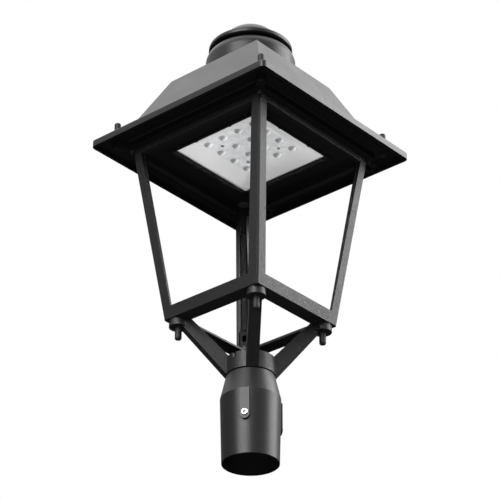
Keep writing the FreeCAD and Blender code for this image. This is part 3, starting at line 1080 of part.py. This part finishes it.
# Domed cap with a round brim, pulled down on the neck by one bolt.
cap = new_body("chimney_cap")
profile = sketch(cap, "cap_profile", "XZ_Plane")
brim_rise = "(%s - %s)" % (BRIM_TOP, DOME_CENTRE)
brim_x = "sqrt(dome_radius ^ 2 - %s ^ 2)" % brim_rise
shell = "(dome_radius - cap_wall)"
shell_x = "sqrt(%s ^ 2 - (%s - %s) ^ 2)" % (shell, NECK_TOP, DOME_CENTRE)
boss_z = "(%s + sqrt(%s ^ 2 - cap_boss_radius ^ 2))" % (DOME_CENTRE, shell)
outline(profile, [
    (shell_x, NECK_TOP), ("brim_radius - brim_edge_radius", NECK_TOP),
    ("brim_radius", "%s + brim_edge_radius" % NECK_TOP, "brim_radius - brim_edge_radius",
     "%s + brim_edge_radius" % NECK_TOP, "x"),
    ("brim_radius - brim_edge_radius", BRIM_TOP), (brim_x, BRIM_TOP, "0", DOME_CENTRE, "x"),
    ("0", "%s + dome_radius" % DOME_CENTRE), ("0", NECK_TOP), ("cap_boss_radius", NECK_TOP),
    ("cap_boss_radius", boss_z, "0", DOME_CENTRE, "x")])
revolve(cap, "cap_turned", profile)
cylinder(cap, "tie_bore", "tie_radius", "tie_grip", ("0", "0", "%s - bore_end_gap" % NECK_TOP), cut=True)

tie = new_body("cap_tie_rod")
cylinder(tie, "tie_rod", "tie_radius", "tie_grip - 1 + neck_collar + neck_top_plate + tie_tail",
         ("0", "0", "%s - tie_tail" % plate_bottom))
tie_nut = new_body("cap_tie_nut")
hexagon(tie_nut, "tie_hex", "tie_nut_radius", "tie_nut_height",
        ("0", "0", "%s - tie_washer_height - tie_nut_height" % plate_bottom))
cylinder(tie_nut, "tie_hex_bore", "tie_radius", "2 * tie_nut_height",
         ("0", "0", "%s - tie_washer_height - 1.5 * tie_nut_height" % plate_bottom), cut=True)
tie_washer = new_body("cap_tie_washer")
cylinder(tie_washer, "tie_disc", "tie_washer_radius", "tie_washer_height",
         ("0", "0", "%s - tie_washer_height" % plate_bottom))
cylinder(tie_washer, "tie_disc_bore", "tie_radius + bolt_clearance", "3 * tie_washer_height",
         ("0", "0", "%s - 2 * tie_washer_height" % plate_bottom), cut=True)

# ---------------------------------------------------------------- export
doc.recompute()
os.makedirs("parts", exist_ok=True)
for item in doc.Objects:
    if "Invalid" in item.State or "Error" in item.State:
        raise ValueError("%s failed: %s" % (item.Label, item.State))
for part in SUBPARTS:
    shape = part.Shape
    if shape.isNull() or not shape.isValid():
        raise ValueError("%s has no sound shape" % part.Label)
    shape.exportStep("parts/%s.step" % part.Label)
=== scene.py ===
"""Post top lantern, dressed for rendering. Metres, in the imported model's own frame."""
import math

import bmesh
import bpy
from mathutils import Matrix, Vector


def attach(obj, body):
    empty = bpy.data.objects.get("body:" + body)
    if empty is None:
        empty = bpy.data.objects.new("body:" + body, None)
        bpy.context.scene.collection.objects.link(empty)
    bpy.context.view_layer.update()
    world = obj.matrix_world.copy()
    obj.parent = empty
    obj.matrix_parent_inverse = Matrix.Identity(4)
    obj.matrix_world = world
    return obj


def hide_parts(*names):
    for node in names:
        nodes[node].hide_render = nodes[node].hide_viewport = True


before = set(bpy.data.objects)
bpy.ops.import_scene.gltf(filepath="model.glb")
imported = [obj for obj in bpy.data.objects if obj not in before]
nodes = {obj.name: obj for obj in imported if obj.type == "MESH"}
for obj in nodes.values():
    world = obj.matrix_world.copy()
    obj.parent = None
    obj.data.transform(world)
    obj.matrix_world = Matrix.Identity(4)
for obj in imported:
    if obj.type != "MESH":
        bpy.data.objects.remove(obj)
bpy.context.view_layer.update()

MM = 0.001


# ---------------------------------------------------------------- camera
# A long lens from well below the lantern, off the corner between its -Y and +X sides. The
# azimuth, elevation and distance were fitted to the photo's roof rim, cage and socket.
camera_azimuth = math.radians(40.73)
camera_elevation = math.radians(-29.24)
camera_distance = 4009.6 * MM
camera_target = Vector((-0.78, -0.67, 423.0)) * MM
toward_camera = Vector((
    math.sin(camera_azimuth) * math.cos(camera_elevation),
    -math.cos(camera_azimuth) * math.cos(camera_elevation),
    math.sin(camera_elevation)))
camera_data = bpy.data.cameras.new("camera")
camera_data.sensor_width = 36.0
camera_data.lens = 158.9
camera_data.clip_end = 60.0
camera = bpy.data.objects.new("camera", camera_data)
camera.location = camera_target + toward_camera * camera_distance
camera.rotation_euler = toward_camera.to_track_quat("Z", "Y").to_euler()
bpy.context.scene.collection.objects.link(camera)
bpy.context.scene.camera = camera
bpy.context.scene.view_settings.view_transform = "Standard"


# ---------------------------------------------------------------- studio
# White all round for the eye. What the paint mirrors is a bright sky overhead that fades toward
# the camera, a dim horizon that fades toward the left, two soft boxes, and almost nothing below,
# so that undersides fall to black.


def linear(hex_colour):
    """An sRGB hex colour as linear red, green, blue and alpha."""
    channels = [int(hex_colour[i:i + 2], 16) / 255 for i in (1, 3, 5)]
    return tuple(c / 12.92 if c <= 0.04045 else ((c + 0.055) / 1.055) ** 2.4 for c in channels) + (1.0,)


def add_node(tree, kind, inputs=None, **settings):
    """Adds a node. An input is given a value, or the socket that feeds it."""
    node = tree.nodes.new(kind)
    for name, value in settings.items():
        setattr(node, name, value)
    for name, value in (inputs or {}).items():
        if isinstance(value, bpy.types.NodeSocket):
            tree.links.new(value, node.inputs[name])
        else:
            node.inputs[name].default_value = value
    return node


surround_white = 1.0
sky_overhead, sky_horizon, sky_ground = 1.45, 0.6, 0.006
away_from_camera = (-math.sin(camera_azimuth), math.cos(camera_azimuth), 0.0)
world = bpy.data.worlds.new("studio")
bpy.context.scene.world = world
world.use_nodes = True
tree = world.node_tree
tree.nodes.clear()
direction = add_node(tree, "ShaderNodeTexCoord").outputs["Generated"]
sideways, upward = [add_node(tree, "ShaderNodeSeparateXYZ", {"Vector": direction}).outputs[axis]
                    for axis in "XZ"]
low_sky = add_node(tree, "ShaderNodeMapRange", {
    "Value": upward, "From Min": -0.05, "From Max": 0.25, "To Min": sky_ground, "To Max": sky_horizon},
    interpolation_type="SMOOTHSTEP")
high_sky = add_node(tree, "ShaderNodeMapRange", {
    "Value": upward, "From Min": 0.45, "From Max": 0.75, "To Min": 0.0, "To Max": sky_overhead},
    interpolation_type="SMOOTHSTEP")
behind = add_node(tree, "ShaderNodeVectorMath", {0: direction, 1: away_from_camera},
                  operation="DOT_PRODUCT")
behind_share = add_node(tree, "ShaderNodeMapRange", {
    "Value": behind.outputs["Value"], "From Min": -0.65, "From Max": 0.0},
    interpolation_type="SMOOTHSTEP")
right_share = add_node(tree, "ShaderNodeMapRange", {
    "Value": sideways, "From Min": -0.8, "From Max": 0.5, "To Min": 0.3, "To Max": 1.0})
horizon = add_node(tree, "ShaderNodeMath", {
    0: low_sky.outputs["Result"], 1: right_share.outputs["Result"]}, operation="MULTIPLY")
sky = add_node(tree, "ShaderNodeMath", {
    0: high_sky.outputs["Result"], 1: behind_share.outputs["Result"], 2: horizon.outputs["Value"]},
    operation="MULTIPLY_ADD")
eye = add_node(tree, "ShaderNodeLightPath").outputs["Is Camera Ray"]
level = add_node(tree, "ShaderNodeMix", {"Factor": eye, 2: sky.outputs["Value"], 3: surround_white},
                 data_type="FLOAT")
surround = add_node(tree, "ShaderNodeBackground", {
    "Color": linear("#FFFFFF"), "Strength": level.outputs[0]})
add_node(tree, "ShaderNodeOutputWorld", {"Surface": surround.outputs["Background"]})


def lamp(name, position, target, size, watts, seen_in_gloss=True):
    """A square soft box that faces its target."""
    light = bpy.data.lights.new(name, "AREA")
    light.size = size
    light.energy = watts
    thing = bpy.data.objects.new(name, light)
    thing.location = position
    thing.rotation_euler = (Vector(position) - Vector(target)).to_track_quat("Z", "Y").to_euler()
    thing.visible_glossy = seen_in_gloss
    bpy.context.scene.collection.objects.link(thing)


# Two boxes shape the paint. Two more reach the white window from below, and no gloss mirrors them.
lantern_middle, window_middle = (0.0, 0.0, 0.45), (0.0, 0.0, 0.64)
lamp("right_box", (2.4, 2.5, 2.1), lantern_middle, size=2.8, watts=130)
lamp("front_left_box", (0.75, -3.4, 2.0), lantern_middle, size=2.5, watts=145)
lamp("under_window", (1.3, -1.6, -1.6), window_middle, size=1.4, watts=118, seen_in_gloss=False)
lamp("across_window", (-0.2, 2.6, -1.3), window_middle, size=0.9, watts=62, seen_in_gloss=False)

# The ground that the post would stand on: plain white to the eye, and dim to the paint above it.
floor_level, floor_reach = -3.2, 9.0
floor_corners = [(-floor_reach, -floor_reach, floor_level), (floor_reach, -floor_reach, floor_level),
                 (floor_reach, floor_reach, floor_level), (-floor_reach, floor_reach, floor_level)]
floor_mesh = bpy.data.meshes.new("floor")
floor_mesh.from_pydata(floor_corners, [], [(0, 1, 2, 3)])
floor = bpy.data.objects.new("floor", floor_mesh)
bpy.context.scene.collection.objects.link(floor)
pale_floor = bpy.data.materials.new("pale_floor")
pale_floor.use_nodes = True
tree = pale_floor.node_tree
tree.nodes.clear()
matt = add_node(tree, "ShaderNodeBsdfDiffuse", {"Color": linear("#1C1C1C")})
white = add_node(tree, "ShaderNodeEmission", {"Color": linear("#FFFFFF"), "Strength": 1.0})
eye = add_node(tree, "ShaderNodeLightPath").outputs["Is Camera Ray"]
look = add_node(tree, "ShaderNodeMixShader", {0: eye, 1: matt.outputs[0], 2: white.outputs[0]})
add_node(tree, "ShaderNodeOutputMaterial", {"Surface": look.outputs[0]})
floor_mesh.materials.append(pale_floor)


# ---------------------------------------------------------------- post socket
# The sleeve that slips over the post is cast in aluminium and coated with smooth black polyester
# powder, which has a soft sheen. The coat's grain of a third of a millimetre is too fine to show,
# so it is drawn 1.6 mm coarse.


def finish(name, inputs):
    """A new material whose main shader has these values."""
    material = bpy.data.materials.new(name)
    material.use_nodes = True
    shader = material.node_tree.nodes["Principled BSDF"]
    for label, value in inputs.items():
        shader.inputs[label].default_value = value
    return material


def feed(material, label, socket):
    """Lets a node's output drive an input of a material's main shader."""
    tree = material.node_tree
    tree.links.new(socket, tree.nodes["Principled BSDF"].inputs[label])


def add_grain(material, size, depth):
    """Presses a random grain into a material, sized in metres, and returns its pattern."""
    tree = material.node_tree
    place = add_node(tree, "ShaderNodeTexCoord").outputs["Object"]
    grain = add_node(tree, "ShaderNodeTexNoise", {
        "Vector": place, "Scale": 1 / size, "Detail": 3.0, "Roughness": 0.6}).outputs["Fac"]
    bump = add_node(tree, "ShaderNodeBump", {"Height": grain, "Distance": depth, "Strength": 1.0})
    feed(material, "Normal", bump.outputs["Normal"])
    return grain


def powder_coat(name, dark, light, grain_size, grain_depth, roughness, speckle):
    """Powder coat whose grain varies its colour and gloss, under a faint dusty mottling."""
    coat = finish(name, {"IOR": 1.5})
    tree = coat.node_tree
    grain = add_grain(coat, grain_size, grain_depth)
    place = add_node(tree, "ShaderNodeTexCoord").outputs["Object"]
    cloud = add_node(tree, "ShaderNodeTexNoise", {
        "Vector": place, "Scale": 1 / (50 * MM), "Detail": 2.0})
    dusty = add_node(tree, "ShaderNodeMapRange", {
        "Value": cloud.outputs["Fac"], "From Min": 0.3, "From Max": 0.7,
        "To Min": -0.015, "To Max": 0.02})
    speck = add_node(tree, "ShaderNodeMapRange", {
        "Value": grain, "From Min": 0.3, "From Max": 0.7,
        "To Min": roughness - speckle, "To Max": roughness + speckle})
    rough = add_node(tree, "ShaderNodeMath", {0: speck.outputs["Result"], 1: dusty.outputs["Result"]},
                     operation="ADD")
    tint = add_node(tree, "ShaderNodeMix", {"Factor": grain, 6: linear(dark), 7: linear(light)},
                    data_type="RGBA")
    feed(coat, "Base Color", tint.outputs[2])
    feed(coat, "Roughness", rough.outputs[0])
    return coat


def merged_copy(name, node, body, material, edge_round, smooth_below=32.0,
                crisp_rings=False):
    """A joined-up copy of a CAD node with its edges rounded as a casting's are.

    Faces shade smoothly across edges below smooth_below degrees. With crisp_rings, an edge between
    two faces of different slope stays sharp even so, as where a sleeve meets its cone.
    """
    weld_gap, flat_angle, ring_tilt = 0.002 * MM, math.radians(0.5), 0.08
    source = nodes[node]
    mesh = source.data.copy()
    form = bmesh.new()
    form.from_mesh(mesh)
    bmesh.ops.remove_doubles(form, verts=form.verts, dist=weld_gap)
    bmesh.ops.dissolve_limit(form, angle_limit=flat_angle, verts=form.verts, edges=form.edges)
    sharp = math.radians(smooth_below)
    for face in form.faces:
        face.smooth = True
    for edge in form.edges:
        tilts = [face.normal.z for face in edge.link_faces]
        ring = crisp_rings and max(tilts) - min(tilts) > ring_tilt
        edge.smooth = not (ring or len(edge.link_faces) == 2 and edge.calc_face_angle() > sharp)
    form.to_mesh(mesh)
    form.free()
    mesh.materials.clear()
    mesh.materials.append(material)
    thing = bpy.data.objects.new(name, mesh)
    bpy.context.scene.collection.objects.link(thing)
    if edge_round:
        bevel = thing.modifiers.new("rounding", "BEVEL")
        bevel.width = edge_round
        bevel.segments = 2
        bevel.limit_method = "ANGLE"
        bevel.angle_limit = sharp
        bevel.use_clamp_overlap = True
        bevel.harden_normals = True
    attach(thing, body)
    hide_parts(node)
    return thing


smooth_black = powder_coat("smooth_black_powder_coat", "#060606", "#0A0A0A", grain_size=1.6 * MM,
                           grain_depth=0.05 * MM, roughness=0.37, speckle=0.04)
merged_copy("post_socket_casting", "post_socket", "post_mount", smooth_black, 0.5 * MM, crisp_rings=True)


# ---------------------------------------------------------------- spider and cage
# The four-armed spider and the tapered cage on it are aluminium castings with a dull, textured
# black powder coat. Its leathery grain is too fine to show, so it is drawn 2.4 mm coarse. A folded
# cover for the cable runs up one leg.


def dress(material, *names):
    """Puts a material on CAD nodes that keep their own mesh."""
    for name in names:
        nodes[name].data.materials[0] = material


textured_black = powder_coat("textured_black_powder_coat", "#050505", "#121212", grain_size=2.4 * MM,
                             grain_depth=0.5 * MM, roughness=0.44, speckle=0.16)
merged_copy("spider_casting", "spider", "post_mount", textured_black, 0.9 * MM, smooth_below=18.0)
merged_copy("lantern_cage_casting", "lantern_cage", "post_mount", textured_black, 0.6 * MM)
dress(smooth_black, "cable_cover")


# ---------------------------------------------------------------- gear tray and roof
# The tray is screwed on the cage and the roof closes over it. Both are thin-walled aluminium
# castings with the smooth coat, and their outer edges are rounded by the mould.
merged_copy("gear_tray_casting", "gear_tray", "post_mount", smooth_black, 0.4 * MM)
merged_copy("roof_casting", "roof_shell", "roof", smooth_black, 0.8 * MM)


# ---------------------------------------------------------------- chimney
# Neck and cap are aluminium spinnings, with the smooth coat, that stand on the roof's crown. The
# cap's brim is turned up with a soft lower edge, and a fine groove rings its dome.


def spun(name, profile, steps=128):
    """A mesh turned about Z from a closed run of (radius, height) points in millimetres."""
    weld_gap, crease = 0.001 * MM, math.radians(32)
    form = bmesh.new()
    rings = []
    for step in range(steps):
        angle = 2 * math.pi * step / steps
        rings.append([form.verts.new((r * math.cos(angle) * MM, r * math.sin(angle) * MM, z * MM))
                      for r, z in profile])
    count = len(profile)
    for step in range(steps):
        near, far = rings[step], rings[(step + 1) % steps]
        for i in range(count):
            j = (i + 1) % count
            form.faces.new((near[i], far[i], far[j], near[j]))
    bmesh.ops.remove_doubles(form, verts=form.verts, dist=weld_gap)
    bmesh.ops.recalc_face_normals(form, faces=form.faces)
    for face in form.faces:
        face.smooth = True
    for edge in form.edges:
        edge.smooth = not (len(edge.link_faces) == 2 and edge.calc_face_angle() > crease)
    mesh = bpy.data.meshes.new(name)
    form.to_mesh(mesh)
    form.free()
    thing = bpy.data.objects.new(name, mesh)
    bpy.context.scene.collection.objects.link(thing)
    return thing


def arc(centre, reach, rise, start, end, steps):
    """Points along a round or oval arc in the (radius, height) plane, its angles in degrees."""
    turns = [math.radians(start + (end - start) * i / steps) for i in range(steps + 1)]
    return [(centre[0] + reach * math.cos(t), centre[1] + rise * math.sin(t)) for t in turns]


merged_copy("chimney_neck_spinning", "chimney_neck", "roof", smooth_black, 0.5 * MM)

cap_foot, cap_sheet, boss_reach, boss_turn = 849.3, 3.0, 9.0, 81.5
brim_reach, brim_height, brim_roll, brim_edge, brim_lean = 80.0, 11.2, 5.0, 1.5, 0.3
dome_centre, dome_reach, dome_height, dome_start = 849.8, 64.0, 58.0, 13.4
gutter_reach, gutter_depth, gutter_slope = 66.0, 1.2, 1.6
groove_start, groove_floor, groove_end, groove_depth = 21.6, (22.0, 23.0), 23.5, 1.1
brim_top = cap_foot + brim_height


def dome_run(inset, start, end, steps):
    """Points along the dome's curve between two turns in degrees, this far inside its outer face."""
    return arc((0.0, dome_centre), dome_reach - inset, dome_height - inset, start, end, steps)


cap_profile = (
    arc((brim_reach - brim_roll, cap_foot + brim_roll), brim_roll, brim_roll, -90, 0, 12)
    + arc((brim_reach - brim_edge - brim_lean, brim_top - brim_edge), brim_edge, brim_edge, 0, 90, 6)
    + [(gutter_reach, brim_top), (gutter_reach - gutter_slope, brim_top - gutter_depth)]
    + dome_run(0.0, dome_start, groove_start, 4)
    + dome_run(groove_depth, *groove_floor, 1)
    + dome_run(0.0, groove_end, 90, 28)
    + [(0.0, cap_foot), (boss_reach, cap_foot)] + dome_run(cap_sheet, boss_turn, 0, 24))
cap = spun("chimney_cap_spinning", cap_profile)
cap.data.materials.append(smooth_black)
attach(cap, "roof")
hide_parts("chimney_cap")


# ---------------------------------------------------------------- fasteners
# Turned and pressed stainless steel. The clamping screws and what is hidden inside stay bright, and
# the screws, studs and hinge brackets that show on the head are blackened and dull. Tool marks are
# too fine to show, so they are drawn as a grain of half a millimetre and more.
bright_steel = finish("bright_stainless_steel", {
    "Base Color": linear("#EDEDEA"), "Metallic": 1.0, "Roughness": 0.42})
add_grain(bright_steel, 0.5 * MM, 0.01 * MM)
dress(bright_steel, "clamp_screw_1", "clamp_screw_2", "clamp_screw_3", "socket_bolts", "gear_screws",
      "sink_screws", "board_screws", "clip_screws", "glass_clips", "neck_screws", "cap_tie_rod",
      "cap_tie_nut", "cap_tie_washer", "captive_ring_left", "captive_ring_right", "hinge_pin_left",
      "hinge_pin_right")

black_steel = finish("blackened_steel", {"Base Color": linear("#101011"), "Roughness": 0.58})
add_grain(black_steel, 0.6 * MM, 0.02 * MM)
dress(black_steel, "cage_studs", "cage_top_screws", "bezel_screws", "stud_nuts", "hinge_screws",
      "hinge_bracket_left", "hinge_bracket_right")

# The two closing screws in front and the two fixed studs behind end in stout domed heads.
rim_top, corner_reach, screw_tail, stud_tail = 642.3, 175.7, 15.2, 9.3
head_height, head_reach, head_bead, head_chamfer = 40.0, 6.0, 3.0, 0.4
shank_reach, shank_chamfer = 4.0, 0.6
for node, body, side, end, tail in (
        ("closing_screw_left", "closing_left", -1, -1, screw_tail),
        ("closing_screw_right", "closing_right", 1, -1, screw_tail),
        ("roof_stud_left", "roof", -1, 1, stud_tail),
        ("roof_stud_right", "roof", 1, 1, stud_tail)):
    foot, top = rim_top - tail, rim_top + head_height
    profile = (
        [(0.0, foot), (shank_reach - shank_chamfer, foot), (shank_reach, foot + shank_chamfer),
         (shank_reach, rim_top), (head_reach - head_chamfer, rim_top),
         (head_reach, rim_top + head_chamfer)]
        + arc((head_reach - head_bead, top - head_bead), head_bead, head_bead, 0, 80, 10)
        + [(0.0, top)])
    rod = spun(node + "_turning", profile, steps=48)
    rod.data.transform(Matrix.Translation((side * corner_reach * MM, end * corner_reach * MM, 0.0)))
    rod.data.materials.append(black_steel)
    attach(rod, body)
    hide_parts(node)


# ---------------------------------------------------------------- seals
# Black silicone rubber, moulded, with a dry dull face. The gaskets seal the roof on the tray, the
# glass on its frame and the neck on the roof, and the grommet lines the hole for the cable.
silicone = finish("black_silicone_rubber", {"Base Color": linear("#1C1C1C"), "Roughness": 0.7})
dress(silicone, "tray_gasket", "glass_gasket", "neck_gasket", "cable_grommet")


# ---------------------------------------------------------------- glass
# Flat toughened glass, clear, clamped on the bezel. Light passes straight through it, so it is
# drawn as a see-through sheet under a gloss that grows toward a grazing view.
clear_glass = finish("clear_toughened_glass", {})
tree = clear_glass.node_tree
tree.nodes.remove(tree.nodes["Principled BSDF"])
through = add_node(tree, "ShaderNodeBsdfTransparent", {"Color": linear("#FAFAFA")})
gloss = add_node(tree, "ShaderNodeBsdfGlossy", {"Color": linear("#FFFFFF"), "Roughness": 0.04})
graze = add_node(tree, "ShaderNodeLayerWeight", {"Blend": 0.5}).outputs["Facing"]
steep = add_node(tree, "ShaderNodeMath", {0: graze, 1: 5.0}, operation="POWER")
mirrored = add_node(tree, "ShaderNodeMapRange", {
    "Value": steep.outputs[0], "To Min": 0.04, "To Max": 1.0})
pane = add_node(tree, "ShaderNodeMixShader", {
    0: mirrored.outputs["Result"], 1: through.outputs[0], 2: gloss.outputs[0]})
tree.links.new(pane.outputs[0], tree.nodes["Material Output"].inputs["Surface"])
dress(clear_glass, "glass_pane")


# ---------------------------------------------------------------- bezel and reflector
# The bezel is a pressed frame with the smooth black coat, and the reflector a funnel of sheet with
# a white semi-matt paint. The photo shows the window 206 mm wide where the solids have 198 mm, so
# the bezel's inner edge and the funnel's foot are moved out.


def widened(name, node, material, reach, below, factor):
    """A copy of a CAD node whose inner edge, inside reach and under a height, stands further out."""
    thing = merged_copy(name, node, "post_mount", material, 0, smooth_below=10.0)
    for vertex in thing.data.vertices:
        if max(abs(vertex.co.x), abs(vertex.co.y)) < reach and vertex.co.z < below:
            vertex.co.x *= factor
            vertex.co.y *= factor


widened("glass_bezel_pressing", "glass_bezel", smooth_black,
        reach=100.5 * MM, below=math.inf, factor=1.038)
white_paint = finish("white_reflector_paint", {"Base Color": linear("#DDDDDD"), "Roughness": 0.5})
widened("reflector_funnel", "reflector", white_paint,
        reach=102.0 * MM, below=640.0 * MM, factor=1.033)


# ---------------------------------------------------------------- circuit board
# An aluminium-backed board under white solder mask, a satin lacquer, with sixteen chips on it.
# Each chip is capped with yellow phosphor in soft resin, which looks matt.
solder_mask = finish("white_solder_mask", {"Base Color": linear("#E6E7E6"), "Roughness": 0.4})
dress(solder_mask, "led_board")
phosphor = finish("yellow_phosphor", {"Base Color": linear("#D9B24A"), "Roughness": 0.5})
dress(phosphor, "led_chips")


# ---------------------------------------------------------------- lens plate
# One acrylic moulding over the board. Its flat is frosted and slightly uneven in its white. Its
# sixteen domes are clear. Their colour is painted light, set by the way that each face points: a
# painted highlight on their far side, standing for the white board seen through them, and painted
# shade in grey on their near side.
acrylic = finish("frosted_acrylic", {"Roughness": 0.14, "IOR": 1.49})
tree = acrylic.node_tree
place = add_node(tree, "ShaderNodeTexCoord").outputs["Object"]
drawn = add_node(tree, "ShaderNodeTexNoise", {"Vector": place, "Scale": 1 / (14 * MM), "Detail": 1.0})
milk = add_node(tree, "ShaderNodeMapRange", {
    "Value": drawn.outputs["Fac"], "From Min": 0.35, "From Max": 0.65, "To Min": 0.0, "To Max": 1.0})
tint = add_node(tree, "ShaderNodeMix", {
    "Factor": milk.outputs["Result"], 6: linear("#D9DADB"), 7: linear("#EAEBEC")}, data_type="RGBA")
feed(acrylic, "Base Color", tint.outputs[2])
lens_moulding = merged_copy("lens_plate_moulding", "lens_plate", "post_mount", acrylic, 0)

# Painted light: the domes' base colour runs from grey painted shade on faces toward the camera to a
# white painted highlight on faces toward the far side.
domes_painted_light = finish("clear_acrylic_domes_painted_light", {"Roughness": 0.1, "IOR": 1.49})
tree = domes_painted_light.node_tree
facing = add_node(tree, "ShaderNodeNewGeometry").outputs["Normal"]
far_side = add_node(tree, "ShaderNodeVectorMath", {0: facing, 1: (0.2, 0.98, 0.0)},
                    operation="DOT_PRODUCT")
painted_highlight_share = add_node(tree, "ShaderNodeMapRange", {
    "Value": far_side.outputs["Value"], "From Min": -0.5, "From Max": 0.35},
    interpolation_type="SMOOTHSTEP")
tint = add_node(tree, "ShaderNodeMix", {
    "Factor": painted_highlight_share.outputs["Result"], 6: linear("#97989A"), 7: linear("#FFFFFF")}, data_type="RGBA")
feed(domes_painted_light, "Base Color", tint.outputs[2])
lens_moulding.data.materials.append(domes_painted_light)

# The domes hang below the plate's flat, and a half-round bead runs round the foot of each.
dome_depth, flat_margin = 4.8 * MM, 0.05 * MM
plate_level = min(corner[2] for corner in nodes["lens_plate"].bound_box) + dome_depth
for face in lens_moulding.data.polygons:
    face.material_index = int(face.center[2] < plate_level - flat_margin)


def rings_on_grid(name, pitch, count, ring_radius, wire_radius, level, material):
    """A square grid of flat moulded rings, built with geometry nodes and kept as a plain mesh."""
    group = bpy.data.node_groups.new(name, "GeometryNodeTree")
    face = group.interface
    face.new_socket("Geometry", in_out="INPUT", socket_type="NodeSocketGeometry")
    sockets = {}
    for label, kind in (("Pitch", "NodeSocketFloat"), ("Count", "NodeSocketInt"),
                        ("Ring radius", "NodeSocketFloat"), ("Wire radius", "NodeSocketFloat"),
                        ("Level", "NodeSocketFloat")):
        sockets[label] = face.new_socket(label, in_out="INPUT", socket_type=kind).identifier
    face.new_socket("Geometry", in_out="OUTPUT", socket_type="NodeSocketGeometry")
    given = group.nodes.new("NodeGroupInput").outputs
    steps = add_node(group, "ShaderNodeMath", {0: given["Count"], 1: 1.0}, operation="SUBTRACT")
    side = add_node(group, "ShaderNodeMath", {0: steps.outputs[0], 1: given["Pitch"]},
                    operation="MULTIPLY")
    grid = add_node(group, "GeometryNodeMeshGrid", {
        "Size X": side.outputs[0], "Size Y": side.outputs[0],
        "Vertices X": given["Count"], "Vertices Y": given["Count"]})
    path = add_node(group, "GeometryNodeCurvePrimitiveCircle", {
        "Resolution": 36, "Radius": given["Ring radius"]})
    wire = add_node(group, "GeometryNodeCurvePrimitiveCircle", {
        "Resolution": 8, "Radius": given["Wire radius"]})
    ring = add_node(group, "GeometryNodeCurveToMesh", {
        "Curve": path.outputs["Curve"], "Profile Curve": wire.outputs["Curve"]})
    spread = add_node(group, "GeometryNodeInstanceOnPoints", {
        "Points": grid.outputs["Mesh"], "Instance": ring.outputs["Mesh"]})
    lift = add_node(group, "ShaderNodeCombineXYZ", {"Z": given["Level"]})
    placed = add_node(group, "GeometryNodeTransform", {
        "Geometry": spread.outputs["Instances"], "Translation": lift.outputs[0]})
    real = add_node(group, "GeometryNodeRealizeInstances", {"Geometry": placed.outputs["Geometry"]})
    finished = add_node(group, "GeometryNodeSetMaterial", {
        "Geometry": real.outputs["Geometry"], "Material": material})
    out = group.nodes.new("NodeGroupOutput")
    group.links.new(finished.outputs["Geometry"], out.inputs["Geometry"])
    carrier = bpy.data.objects.new(name, bpy.data.meshes.new(name))
    bpy.context.scene.collection.objects.link(carrier)
    stack = carrier.modifiers.new(name, "NODES")
    stack.node_group = group
    for label, value in (("Pitch", pitch), ("Count", count), ("Ring radius", ring_radius),
                         ("Wire radius", wire_radius), ("Level", level)):
        stack[sockets[label]] = value
    bpy.context.view_layer.update()
    made = bpy.data.meshes.new_from_object(carrier.evaluated_get(bpy.context.evaluated_depsgraph_get()))
    carrier.modifiers.remove(stack)
    carrier.data = made
    return carrier


# The beads take the domes' material, with the same painted highlight and painted shade.
beads = rings_on_grid("lens_beads", pitch=37 * MM, count=4, ring_radius=8.3 * MM, wire_radius=0.6 * MM,
                      level=plate_level, material=domes_painted_light)
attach(beads, "post_mount")


# ---------------------------------------------------------------- gear under the roof
# An extruded heat sink, turned pillars and a folded plate in plain mill-finish aluminium, which has
# a soft grey gleam. The driver, the surge protector and the terminals sit on the plate in moulded
# plastic cases.
aluminium = finish("mill_finish_aluminium", {
    "Base Color": linear("#C4C6C8"), "Metallic": 1.0, "Roughness": 0.38})
dress(aluminium, "heat_sink", "gear_standoffs", "gear_plate")
for node, name, colour, roughness in (
        ("led_driver", "off_white_moulded_case", "#DEDDD6", 0.45),
        ("surge_protector", "dark_grey_moulded_case", "#45484C", 0.4),
        ("terminal_block", "light_grey_polyamide", "#CFCFC8", 0.5)):
    dress(finish(name, {"Base Color": linear(colour), "Roughness": roughness}), node)
